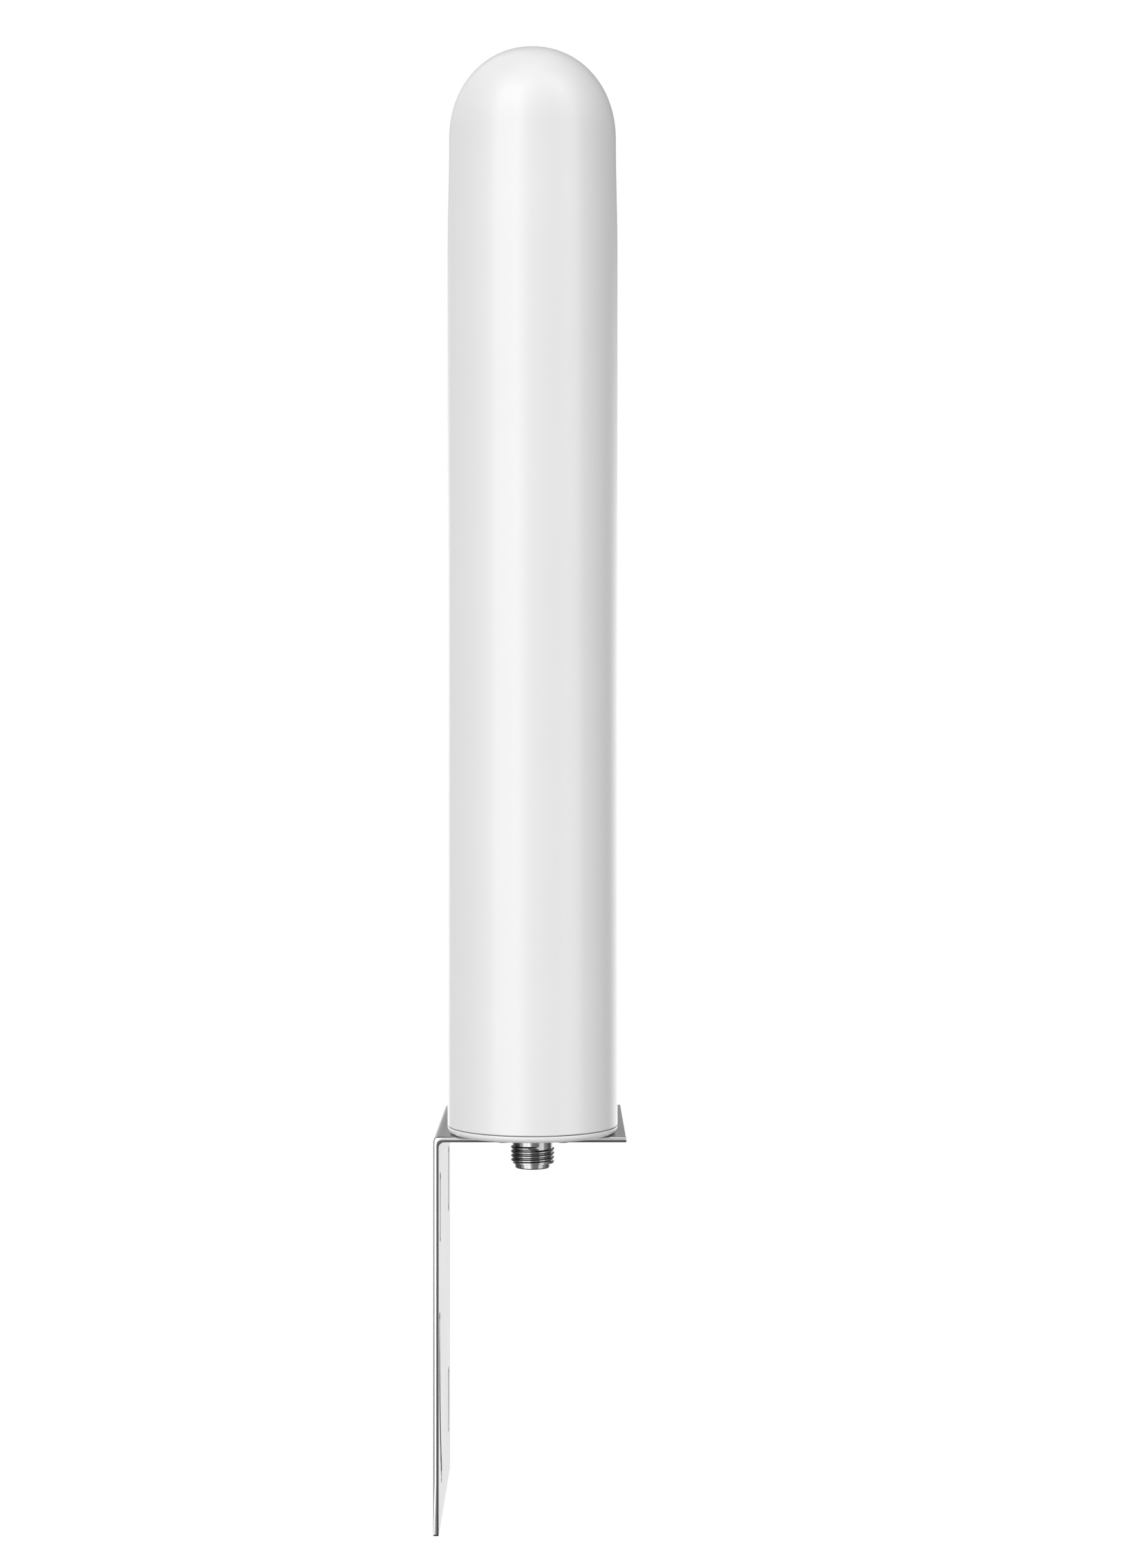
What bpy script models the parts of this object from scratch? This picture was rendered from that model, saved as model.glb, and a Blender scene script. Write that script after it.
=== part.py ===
"""Omnidirectional antenna in a domed radome, standing on an L-shaped wall bracket.

World frame, in metres: the origin is the centre of the bracket leg's wall face, the wall is
the plane x = 0 on the -X side, +Z is up along the radome and -Y is the front. The antenna's
own parts are children of an empty on the antenna's axis, at the top face of the bracket's
flange, so their heights are counted from that face.
"""

import math

import bmesh
import bpy

MM = 0.001
GAP = 0.3 * MM  # between faces that rest on each other

# ---------------------------------------------------------------- bracket
SHEET = 2.0 * MM
BEND_RADIUS = 2.0 * MM  # inside of the bend
CORNER_RADIUS = 1.8 * MM  # outside of the bend, which is pressed sharp
BRACKET_DEPTH = 88.0 * MM  # front edge to back edge
FLANGE_REACH = 69.7 * MM  # wall face to the flange's free edge
LEG_DROP = 144.0 * MM  # flange's top face to the leg's lower edge
AXIS_REACH = 35.7 * MM  # wall face to the antenna's axis
AXIS_SETBACK = 12.0 * MM  # front edge to the antenna's axis

SLOT_LENGTH = 25.8 * MM
SLOT_WIDTH = 6.5 * MM
SLOT_INSET = 12.2 * MM  # slot's centre line to the leg's side edge
UPPER_SLOT_DROP = 27.4 * MM  # flange's top face to the slot's middle
LOWER_SLOT_DROP = 113.8 * MM
ARC_SLOT_WIDTH = 7.0 * MM
ARC_SLOT_RADIUS = 110.0 * MM  # of its centre line
ARC_SLOT_INSET = 6.6 * MM  # front edge to the centre line where they are closest
ARC_SLOT_LEVEL = 73.5 * MM  # drop at which they are closest
ARC_SLOT_TOP = 68.0 * MM  # drop of the upper end's centre
ARC_SLOT_BOTTOM = 127.0 * MM

# ---------------------------------------------------------------- radome
RADOME_RADIUS = 31.0 * MM
RADOME_WALL = 2.2 * MM
RADOME_TOP = 395.0 * MM  # flange's top face to the crown
DOME_RADIUS = 30.4 * MM
DOME_HEIGHT = 33.0 * MM
DOME_POWER = 2.1  # 2 is an ellipse, more is squarer
TAPER_LENGTH = 42.0 * MM  # from the dome down to the full radius

# ---------------------------------------------------------------- base cap
CAP_RIM = 2.3 * MM  # height of the rim that shows below the radome
CAP_EDGE = 1.9 * MM  # rounding of the rim's lower edge
CAP_FLOOR = 4.0 * MM
SPIGOT_HEIGHT = 16.0 * MM
SPIGOT_WALL = 3.0 * MM
SPIGOT_CLEARANCE = 0.3 * MM  # radial, to the radome's bore
SPIGOT_CHAMFER = 0.8 * MM
SEAL_GROOVE = 1.4 * MM  # depth
SEAL_LEVEL = 9.0 * MM

# ---------------------------------------------------------------- coaxial connector
THREAD_RADIUS = 7.94 * MM
THREAD_DEPTH = 0.77 * MM
THREAD_PITCH = 1.5 * MM
THREAD_TURNS = 4
THREAD_START = 4.3 * MM  # drop below the flange's top face
CONNECTOR_DROP = 12.8 * MM
COLLAR_RADIUS = 7.3 * MM
END_RING_RADIUS = 6.45 * MM
END_RING_HEIGHT = 1.8 * MM
SOCKET_RADIUS = 4.2 * MM
SOCKET_DEPTH = 9.0 * MM
CONTACT_RADIUS = 1.52 * MM
CONTACT_BORE = 0.82 * MM
CONTACT_RECESS = 4.9 * MM  # connector's mouth to the contact's tip
PLATE_THICKNESS = 2.5 * MM
PLATE_SCREW_MARGIN = 0.4 * MM  # gasket's edge to a screw's shank
PLATE_EDGE = 3.55 * MM  # screw's centre to the square plate's edge
STUB_RADIUS = 5.5 * MM
STUB_HEIGHT = 4.0 * MM
GASKET_THICKNESS = 0.8 * MM
GASKET_WIDTH = 2.5 * MM

# ---------------------------------------------------------------- fasteners
PLATE_SCREW_RADIUS = 1.5 * MM
PLATE_SCREW_LENGTH = 6.0 * MM
BRACKET_SCREW_RADIUS = 2.0 * MM
BRACKET_SCREW_LENGTH = 12.0 * MM
BRACKET_SCREW_ANGLES = (0.0, 30.0, -30.0)  # degrees from straight back
INSERT_RADIUS = 2.8 * MM
INSERT_LENGTH = 6.0 * MM
BOSS_WALL = 1.1 * MM
FLAT_WASHER = 0.5 * MM  # thickness
FLAT_WASHER_RADIUS = 4.0 * MM
LOCK_WASHER = 0.9 * MM
LOCK_WASHER_RADIUS = 3.5 * MM
HEAD_OVER_SHANK = 1.9  # radii
HEAD_HEIGHT_OVER_SHANK = 1.1
BOARD_SCREW_RADIUS = 1.25 * MM
HOLE_CLEARANCE = 0.3 * MM  # radial, of a screw or pin in its hole

# ---------------------------------------------------------------- inside the radome
BOARD_THICKNESS = 1.6 * MM
BOARD_HEADROOM = 30.0 * MM  # crown to the board's top edge
FORK_HEIGHT = 30.0 * MM  # above the flange's top face
FORK_CLEARANCE = 1.8 * MM  # connector's plate to a leg of the fork
LEG_WIDTH = 5.5 * MM  # of each leg
FOIL = 0.2 * MM
FOIL_LINE = 5.0 * MM
DIPOLE_SPACING = 120.0 * MM
ARM_LENGTH = 37.0 * MM
ARM_SPREAD = 32.0 * MM
ARM_WIDTH = 5.0 * MM
CABLE_RADIUS = 1.8 * MM
CORE_RADIUS = 0.46 * MM
CABLE_BEND_START = 15.0 * MM
CABLE_BEND_END = 27.0 * MM
POST_HEIGHT = 11.7 * MM
POST_WIDTH = 7.0 * MM
POST_DEPTH = 8.0 * MM
POST_SOLE = 2.0 * MM  # below the board's foot
DISC_COUNT = 3
DISC_THICKNESS = 4.0 * MM
DISC_CLEARANCE = 0.4 * MM
DISC_HOLE_RADIUS = 5.0 * MM
DISC_HOLE_OFFSET = 15.0 * MM
BUFFER_RADIUS = 10.0 * MM
BUFFER_LAP = 7.0 * MM  # over the board's top edge
BUFFER_HEADROOM = 3.0 * MM
VENT_RADIUS = 3.0 * MM
VENT_BORE = 0.9 * MM
VENT_HEAD = 1.0 * MM

ROUND = 48  # sides of a large round
MEDIUM_ROUND = 24
SMALL_ROUND = 16

# ---------------------------------------------------------------- worked out
HALF_DEPTH = BRACKET_DEPTH / 2
HALF_DROP = LEG_DROP / 2
BORE = RADOME_RADIUS - RADOME_WALL
DOME_FOOT = RADOME_TOP - DOME_HEIGHT
CAP_BOTTOM = GAP
RIM_TOP = CAP_BOTTOM + CAP_RIM
RADOME_FOOT = RIM_TOP + GAP
FLOOR_TOP = CAP_BOTTOM + CAP_FLOOR
SPIGOT_TOP = RIM_TOP + SPIGOT_HEIGHT
SPIGOT_RADIUS = BORE - SPIGOT_CLEARANCE
SPIGOT_INNER = SPIGOT_RADIUS - SPIGOT_WALL
SEAL_RADIUS = (BORE - SPIGOT_RADIUS + SEAL_GROOVE) / 2 - GAP
CONNECTOR_HOLE = THREAD_RADIUS + HOLE_CLEARANCE
GASKET_FOOT = FLOOR_TOP + GAP
PLATE_FOOT = GASKET_FOOT + GASKET_THICKNESS + GAP
PLATE_TOP = PLATE_FOOT + PLATE_THICKNESS
GASKET_INNER = CONNECTOR_HOLE + GAP
GASKET_OUTER = GASKET_INNER + GASKET_WIDTH
PLATE_SCREW_CIRCLE = GASKET_OUTER + PLATE_SCREW_MARGIN + PLATE_SCREW_RADIUS
PLATE_HOLE_SPACING = PLATE_SCREW_CIRCLE * math.sqrt(2)
PLATE_WIDTH = PLATE_HOLE_SPACING + 2 * PLATE_EDGE
STUB_TOP = PLATE_TOP + STUB_HEIGHT
INSULATOR_FOOT = SOCKET_DEPTH - CONNECTOR_DROP
INSULATOR_TOP = STUB_TOP - 2 * MM
CABLE_FOOT = INSULATOR_TOP + 2 * GAP
VENT_SETBACK = SPIGOT_INNER - VENT_RADIUS - VENT_HEAD - 2 * GAP
SCREW_CIRCLE = SPIGOT_INNER - INSERT_RADIUS - 2 * GAP
BOSS_RADIUS = INSERT_RADIUS + GAP + BOSS_WALL
INSERT_FOOT = CAP_BOTTOM + CAP_FLOOR / 2
BOSS_TOP = INSERT_FOOT + INSERT_LENGTH + 2 * GAP
BOARD_FOOT = FLOOR_TOP + POST_SOLE + GAP
BOARD_TOP = RADOME_TOP - BOARD_HEADROOM
FORK_OPENING = PLATE_WIDTH / 2 + FORK_CLEARANCE  # half of it
BOARD_WIDTH = 2 * (FORK_OPENING + LEG_WIDTH)
LEG_CENTRE = FORK_OPENING + LEG_WIDTH / 2
BOARD_SCREW_LEVEL = BOARD_FOOT + POST_HEIGHT / 2
FEED_LEVEL = (BOARD_FOOT + BOARD_TOP) / 2
FOIL_PLANE = BOARD_THICKNESS / 2 + GAP + FOIL / 2
CABLE_PLANE = FOIL_PLANE + FOIL / 2 + GAP + CABLE_RADIUS
BOARD_SLOT = 2 * (FOIL_PLANE + FOIL / 2 + GAP)  # opening that passes the board and its foil

FINISHES = {  # base colour, roughness, metallic
    "radome_plastic": ((0.86, 0.87, 0.88), 0.22, 0.0),
    "cap_plastic": ((0.84, 0.85, 0.86), 0.28, 0.0),
    "seal_rubber": ((0.03, 0.03, 0.03), 0.7, 0.0),
    "connector_plating": ((0.72, 0.72, 0.73), 0.16, 1.0),
    "ptfe": ((0.9, 0.9, 0.88), 0.5, 0.0),
    "gold_plating": ((0.83, 0.62, 0.25), 0.2, 1.0),
    "screw_steel": ((0.62, 0.62, 0.63), 0.3, 1.0),
    "insert_brass": ((0.7, 0.53, 0.24), 0.35, 1.0),
    "bracket_stainless": ((0.6, 0.6, 0.61), 0.32, 1.0),
    "board_laminate": ((0.13, 0.28, 0.12), 0.45, 0.0),
    "copper_foil": ((0.72, 0.4, 0.24), 0.3, 1.0),
    "cable_copper": ((0.66, 0.45, 0.32), 0.35, 1.0),
    "disc_plastic": ((0.8, 0.8, 0.77), 0.5, 0.0),
    "vent_plastic": ((0.25, 0.25, 0.26), 0.6, 0.0),
}


# ---------------------------------------------------------------- scene and helpers
for old in list(bpy.data.objects):
    bpy.data.objects.remove(old)

PARTS = bpy.data.collections.new("omnidirectional_antenna")
CUTTERS = bpy.data.collections.new("cutters")
for collection in (PARTS, CUTTERS):
    bpy.context.scene.collection.children.link(collection)

AXIS = bpy.data.objects.new("antenna_axis", None)
AXIS.location = (AXIS_REACH, AXIS_SETBACK - HALF_DEPTH, HALF_DROP)
PARTS.objects.link(AXIS)


def material(name):
    """The named finish as a Principled material, made once."""
    found = bpy.data.materials.get(name)
    if found:
        return found
    colour, roughness, metallic = FINISHES[name]
    made = bpy.data.materials.new(name)
    made.use_nodes = True
    shader = made.node_tree.nodes["Principled BSDF"]
    shader.inputs["Base Color"].default_value = (*colour, 1.0)
    shader.inputs["Roughness"].default_value = roughness
    shader.inputs["Metallic"].default_value = metallic
    return made


def add(name, data, finish):
    """A part of the antenna when it has a finish, otherwise a cutter or an addition."""
    obj = bpy.data.objects.new(name, data)
    obj.parent = AXIS
    if finish:
        PARTS.objects.link(obj)
        data.materials.append(material(finish))
    else:
        CUTTERS.objects.link(obj)
        obj.hide_render = True
        obj.display_type = "WIRE"
    return obj


def solid_mesh(source):
    """The evaluated shape of an object as one welded mesh, smooth between its sharp edges."""
    view = bpy.context.evaluated_depsgraph_get()
    mesh = bpy.data.meshes.new_from_object(source.evaluated_get(view))
    work = bmesh.new()
    work.from_mesh(mesh)
    bmesh.ops.remove_doubles(work, verts=work.verts, dist=0.001 * MM)
    bmesh.ops.recalc_face_normals(work, faces=work.faces)
    work.to_mesh(mesh)
    work.free()
    mesh.shade_smooth()
    mesh.set_sharp_from_angle(angle=math.radians(35))
    return mesh


def baked(name, source, finish):
    """Replaces a scratch object by a part or cutter that holds its finished mesh."""
    bpy.context.scene.collection.objects.link(source)
    mesh = solid_mesh(source)
    bpy.data.objects.remove(source)
    mesh.materials.clear()
    return add(name, mesh, finish)


def turned(name, profile, finish=None, sides=ROUND):
    """Solid of revolution about Z.

    The profile's points are (radius, height) and run down the outer side. It starts and ends
    on the axis for a full body, or closes on itself for a ring.
    """
    count = len(profile)
    joins = count if profile[0][0] > 0 else count - 1
    mesh = bpy.data.meshes.new(name)
    points = [(radius, 0.0, height) for radius, height in profile]
    mesh.from_pydata(points, [(i, (i + 1) % count) for i in range(joins)], [])
    source = bpy.data.objects.new(name, mesh)
    turn = source.modifiers.new("Turn", "SCREW")
    turn.steps = turn.render_steps = sides
    turn.use_merge_vertices = True
    turn.merge_threshold = 0.001 * MM
    return baked(name, source, finish)


def cylinder(name, radius, low, high, finish=None, sides=SMALL_ROUND):
    """Plain cylinder on the Z axis between two heights."""
    return turned(name, [(0, high), (radius, high), (radius, low), (0, low)], finish, sides)


def stepped_cutter(name, upper_radius, lower_radius, high, step, low):
    """Coaxial bore of two radii that change at the step."""
    profile = [(0, high), (upper_radius, high), (upper_radius, step), (lower_radius, step)]
    return turned(name, profile + [(lower_radius, low), (0, low)], sides=MEDIUM_ROUND)


def ring(name, inner, outer, low, high, finish=None, sides=ROUND):
    """Flat ring on the Z axis between two heights."""
    profile = [(outer, high), (outer, low), (inner, low), (inner, high)]
    return turned(name, profile, finish, sides)


def outline_solid(name, outline, thickness, finish=None):
    """Flat outline in the local XY plane, thickened equally to both sides."""
    curve = bpy.data.curves.new(name, "CURVE")
    curve.dimensions = "2D"
    curve.fill_mode = "BOTH"
    curve.extrude = thickness / 2
    spline = curve.splines.new("POLY")
    spline.points.add(len(outline) - 1)
    for point, (x, y) in zip(spline.points, outline):
        point.co = (x, y, 0.0, 1.0)
    spline.use_cyclic_u = True
    return baked(name, bpy.data.objects.new(name, curve), finish)


def wire(name, route, radius, finish):
    """Round wire along a route of points."""
    curve = bpy.data.curves.new(name, "CURVE")
    curve.dimensions = "3D"
    curve.bevel_depth = radius
    curve.bevel_resolution = 2
    curve.use_fill_caps = True
    spline = curve.splines.new("POLY")
    spline.points.add(len(route) - 1)
    for point, (x, y, z) in zip(spline.points, route):
        point.co = (x, y, z, 1.0)
    return baked(name, bpy.data.objects.new(name, curve), finish)


def box(name, low, high, finish=None):
    """Box between two opposite corners, with its origin at its centre."""
    mesh = bpy.data.meshes.new(name)
    work = bmesh.new()
    bmesh.ops.create_cube(work, size=1.0)
    size = [top - bottom for bottom, top in zip(low, high)]
    bmesh.ops.scale(work, vec=size, verts=work.verts)
    work.to_mesh(mesh)
    work.free()
    obj = add(name, mesh, finish)
    obj.location = [(bottom + top) / 2 for bottom, top in zip(low, high)]
    return obj


def combine(obj, other, operation):
    """Live Boolean of a part with a cutter or an addition."""
    step = obj.modifiers.new(other.name, "BOOLEAN")
    step.operation = operation
    step.object = other
    step.solver = "EXACT"


def cut(obj, *cutters):
    for cutter in cutters:
        combine(obj, cutter, "DIFFERENCE")


def join(obj, *additions):
    for addition in additions:
        combine(obj, addition, "UNION")


def at(obj, x=0.0, y=0.0, z=0.0, turn=(0.0, 0.0, 0.0)):
    """Places an object in the antenna's frame, with its turns in degrees."""
    obj.location = (x, y, z)
    obj.rotation_euler = [math.radians(angle) for angle in turn]
    return obj


def arc(centre, radius, start, end, steps):
    """Points of an arc between two angles in degrees, both ends included."""
    angles = [math.radians(start + (end - start) * i / steps) for i in range(steps + 1)]
    return [(centre[0] + radius * math.cos(a), centre[1] + radius * math.sin(a)) for a in angles]


UPRIGHT = (90, 0, 0)  # outline x, y become world x, z
SIDEWAYS = (90, 0, 90)  # outline x, y become world y, z


# ---------------------------------------------------------------- bracket
def bracket_outline():
    """Section of the bent sheet, in X and Z."""
    inner = BEND_RADIUS + SHEET
    points = [(0, -HALF_DROP), (SHEET, -HALF_DROP)]
    points += arc((inner, HALF_DROP - inner), BEND_RADIUS, 180, 90, 6)
    points += [(FLANGE_REACH, HALF_DROP - SHEET), (FLANGE_REACH, HALF_DROP)]
    points += arc((CORNER_RADIUS, HALF_DROP - CORNER_RADIUS), CORNER_RADIUS, 90, 180, 6)
    return points


def straight_slot_outline():
    half = (SLOT_LENGTH - SLOT_WIDTH) / 2
    top = arc((0, half), SLOT_WIDTH / 2, 0, 180, 10)
    bottom = arc((0, -half), SLOT_WIDTH / 2, 180, 360, 10)
    return top + bottom


def arc_slot_outline():
    """Slot bent to an arc whose centre lies behind the leg, in Y and Z of the world."""
    half = ARC_SLOT_WIDTH / 2
    centre = (-HALF_DEPTH + ARC_SLOT_INSET + ARC_SLOT_RADIUS, HALF_DROP - ARC_SLOT_LEVEL)

    def angle(drop):
        return 180 + math.degrees(math.asin((drop - ARC_SLOT_LEVEL) / ARC_SLOT_RADIUS))

    top, bottom = angle(ARC_SLOT_TOP), angle(ARC_SLOT_BOTTOM)
    upper_end = arc(centre, ARC_SLOT_RADIUS, top, top, 1)[0]
    lower_end = arc(centre, ARC_SLOT_RADIUS, bottom, bottom, 1)[0]
    points = arc(centre, ARC_SLOT_RADIUS + half, top, bottom, 14)
    points += arc(lower_end, half, bottom, bottom + 180, 8)[1:-1]
    points += arc(centre, ARC_SLOT_RADIUS - half, bottom, top, 14)
    points += arc(upper_end, half, top + 180, top + 360, 8)[1:-1]
    return points


def make_bracket():
    bracket = outline_solid("bracket", bracket_outline(), BRACKET_DEPTH, "bracket_stainless")
    bracket.parent = None
    at(bracket, turn=UPRIGHT)
    through = 3 * SHEET
    slots = {
        "upper_front_slot": (SLOT_INSET - HALF_DEPTH, HALF_DROP - UPPER_SLOT_DROP),
        "upper_back_slot": (HALF_DEPTH - SLOT_INSET, HALF_DROP - UPPER_SLOT_DROP),
        "lower_back_slot": (HALF_DEPTH - SLOT_INSET, HALF_DROP - LOWER_SLOT_DROP),
    }
    for name, (y, z) in slots.items():
        slot = outline_solid(name, straight_slot_outline(), through)
        slot.parent = None
        cut(bracket, at(slot, SHEET / 2, y, z, SIDEWAYS))
    arc_slot = outline_solid("arc_slot", arc_slot_outline(), through)
    arc_slot.parent = None
    cut(bracket, at(arc_slot, SHEET / 2, turn=SIDEWAYS))

    cut(bracket, cylinder("barrel_hole", CONNECTOR_HOLE + GAP, -2 * SHEET, SHEET, sides=ROUND))
    for number, (x, y) in enumerate(bracket_screw_places(), 1):
        radius = BRACKET_SCREW_RADIUS + HOLE_CLEARANCE
        cut(bracket, at(cylinder(f"bracket_hole_{number}", radius, -2 * SHEET, SHEET), x, y))


# ---------------------------------------------------------------- radome and cap
def dome(radius, height, foot, steps):
    """Quarter outline of the dome, from the crown down to its foot."""
    points = []
    for i in range(steps + 1):
        a = math.radians(90 * i / steps)
        across = math.sin(a) ** (2 / DOME_POWER)
        up = math.cos(a) ** (2 / DOME_POWER) if i < steps else 0.0
        points.append((radius * across, foot + height * up))
    return points


def make_radome():
    steps = 10
    taper_foot = DOME_FOOT - TAPER_LENGTH
    outside = dome(DOME_RADIUS, DOME_HEIGHT, DOME_FOOT, steps)
    inside = dome(DOME_RADIUS - RADOME_WALL, DOME_HEIGHT - RADOME_WALL, DOME_FOOT, steps)
    profile = outside + [(RADOME_RADIUS, taper_foot), (RADOME_RADIUS, RADOME_FOOT)]
    profile += [(BORE, RADOME_FOOT), (BORE, taper_foot)] + inside[::-1]
    turned("radome", profile, "radome_plastic")


def cap_profile():
    groove_low = SEAL_LEVEL - SEAL_RADIUS - GAP
    groove_high = SEAL_LEVEL + SEAL_RADIUS + GAP
    groove_radius = SPIGOT_RADIUS - SEAL_GROOVE
    edge = arc((RADOME_RADIUS - CAP_EDGE, CAP_BOTTOM + CAP_EDGE), CAP_EDGE, 0, -90, 4)
    return [
        (SPIGOT_RADIUS - SPIGOT_CHAMFER, SPIGOT_TOP),
        (SPIGOT_RADIUS, SPIGOT_TOP - SPIGOT_CHAMFER),
        (SPIGOT_RADIUS, groove_high),
        (groove_radius, groove_high),
        (groove_radius, groove_low),
        (SPIGOT_RADIUS, groove_low),
        (SPIGOT_RADIUS, RIM_TOP),
        (RADOME_RADIUS, RIM_TOP),
        *edge,
        (CONNECTOR_HOLE, CAP_BOTTOM),
        (CONNECTOR_HOLE, FLOOR_TOP),
        (SPIGOT_INNER, FLOOR_TOP),
        (SPIGOT_INNER, SPIGOT_TOP),
    ]


def make_base_cap():
    cap = turned("base_cap", cap_profile(), "cap_plastic")
    sunk = CAP_FLOOR / 4  # how deep an addition starts in the floor
    for number, (x, y) in enumerate(bracket_screw_places(), 1):
        boss = cylinder(f"boss_{number}", BOSS_RADIUS, FLOOR_TOP - sunk, BOSS_TOP)
        join(cap, at(boss, x, y))
    for number, side in enumerate((-1, 1), 1):
        x = side * LEG_CENTRE
        half_width = POST_WIDTH / 2
        half_depth = POST_DEPTH / 2
        post_top = FLOOR_TOP + POST_HEIGHT
        low = (x - half_width, -half_depth, FLOOR_TOP - sunk)
        post = box(f"post_{number}", low, (x + half_width, half_depth, post_top))
        join(cap, post)
        half_slot = BOARD_THICKNESS / 2 + GAP
        low = (x - POST_WIDTH, -half_slot, FLOOR_TOP + POST_SOLE)
        high = (x + POST_WIDTH * 0.75, half_slot, post_top + sunk)
        hole = cylinder(f"post_hole_{number}", BOARD_SCREW_RADIUS + HOLE_CLEARANCE,
                        -POST_DEPTH, POST_DEPTH)
        cut(cap, box(f"post_slot_{number}", low, high))
        cut(cap, at(hole, x, 0, BOARD_SCREW_LEVEL, UPRIGHT))
    for number, (x, y) in enumerate(bracket_screw_places(), 1):
        wide = INSERT_RADIUS + GAP
        narrow = BRACKET_SCREW_RADIUS + HOLE_CLEARANCE
        pocket = stepped_cutter(f"pocket_{number}", wide, narrow, SPIGOT_TOP + sunk,
                                INSERT_FOOT - GAP, CAP_BOTTOM - sunk)
        cut(cap, at(pocket, x, y))
    for number, (x, y) in enumerate(plate_screw_places(), 1):
        tip = PLATE_TOP + GAP - PLATE_SCREW_LENGTH
        hole = cylinder(f"plate_screw_hole_{number}", PLATE_SCREW_RADIUS + HOLE_CLEARANCE,
                        tip - GAP, PLATE_TOP)
        cut(cap, at(hole, x, y))
    vent_hole = cylinder("vent_hole", VENT_RADIUS + GAP, CAP_BOTTOM - sunk, FLOOR_TOP + sunk)
    cut(cap, at(vent_hole, 0, -VENT_SETBACK))


def make_seals():
    centre = (BORE + SPIGOT_RADIUS - SEAL_GROOVE) / 2
    circle = arc((centre, SEAL_LEVEL), SEAL_RADIUS, 90, -270, 6)[:-1]
    turned("radome_seal", circle, "seal_rubber", 36)
    ring("connector_seal", GASKET_INNER, GASKET_OUTER, GASKET_FOOT,
         GASKET_FOOT + GASKET_THICKNESS, "seal_rubber", MEDIUM_ROUND)


def make_vent_plug():
    head = VENT_RADIUS + VENT_HEAD
    head_foot = FLOOR_TOP + GAP
    profile = [
        (head, head_foot + VENT_HEAD),
        (head, head_foot),
        (VENT_RADIUS, head_foot),
        (VENT_RADIUS, CAP_BOTTOM),
        (VENT_BORE, CAP_BOTTOM),
        (VENT_BORE, head_foot + VENT_HEAD),
    ]
    at(turned("vent_plug", profile, "vent_plastic", SMALL_ROUND), 0, -VENT_SETBACK)


# ---------------------------------------------------------------- connector
def plate_screw_places():
    half = PLATE_HOLE_SPACING / 2
    return [(half, half), (-half, half), (-half, -half), (half, -half)]


def barrel_profile():
    """Outside of the connector, from its rear stub down to its end ring."""
    root = THREAD_RADIUS - THREAD_DEPTH
    points = [(0, STUB_TOP), (STUB_RADIUS, STUB_TOP), (STUB_RADIUS, PLATE_TOP)]
    points += [(COLLAR_RADIUS, PLATE_TOP), (COLLAR_RADIUS, -THREAD_START)]
    for turn in range(THREAD_TURNS):
        top = -THREAD_START - turn * THREAD_PITCH
        points += [(root, top), (THREAD_RADIUS, top - THREAD_PITCH * 0.4)]
        points += [(THREAD_RADIUS, top - THREAD_PITCH * 0.6)]
    thread_end = -THREAD_START - THREAD_TURNS * THREAD_PITCH
    points += [(root, thread_end), (root, END_RING_HEIGHT - CONNECTOR_DROP)]
    points += [(END_RING_RADIUS, END_RING_HEIGHT - CONNECTOR_DROP)]
    points += [(END_RING_RADIUS, -CONNECTOR_DROP), (0, -CONNECTOR_DROP)]
    return points


def make_connector():
    body = turned("connector_body", barrel_profile(), "connector_plating", 36)
    half = PLATE_WIDTH / 2
    join(body, box("plate", (-half, -half, PLATE_FOOT), (half, half, PLATE_TOP)))
    past = 1 * MM  # how far a cutter runs past the face that it opens
    cut(body, stepped_cutter("socket", CABLE_RADIUS + GAP, SOCKET_RADIUS, STUB_TOP + past,
                             INSULATOR_TOP + GAP, -CONNECTOR_DROP - past))
    for number, (x, y) in enumerate(plate_screw_places(), 1):
        hole = cylinder(f"plate_hole_{number}", PLATE_SCREW_RADIUS + HOLE_CLEARANCE,
                        PLATE_FOOT - past, PLATE_TOP + past)
        cut(body, at(hole, x, y))
    ring("connector_insulator", CONTACT_RADIUS + GAP, SOCKET_RADIUS - GAP, INSULATOR_FOOT,
         INSULATOR_TOP, "ptfe", MEDIUM_ROUND)

    tip = CONTACT_RECESS - CONNECTOR_DROP
    mouth = CONTACT_BORE * 1.3
    depth = INSULATOR_FOOT - tip
    profile = [(0, INSULATOR_TOP), (CONTACT_RADIUS, INSULATOR_TOP), (CONTACT_RADIUS, tip)]
    profile += [(mouth, tip), (CONTACT_BORE, tip + mouth - CONTACT_BORE)]
    profile += [(CONTACT_BORE, tip + depth), (0, tip + depth + CONTACT_BORE)]
    contact = turned("connector_contact", profile, "gold_plating", SMALL_ROUND)
    half_cut = 0.2 * MM
    reach = 2 * CONTACT_RADIUS
    slit_top = tip + depth * 0.8
    cut(contact, box("slit_x", (-reach, -half_cut, tip - past), (reach, half_cut, slit_top)))
    cut(contact, box("slit_y", (-half_cut, -reach, tip - past), (half_cut, reach, slit_top)))


# ---------------------------------------------------------------- fasteners
def bracket_screw_places():
    angles = [math.radians(angle) for angle in BRACKET_SCREW_ANGLES]
    return [(SCREW_CIRCLE * math.sin(a), SCREW_CIRCLE * math.cos(a)) for a in angles]


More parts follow.
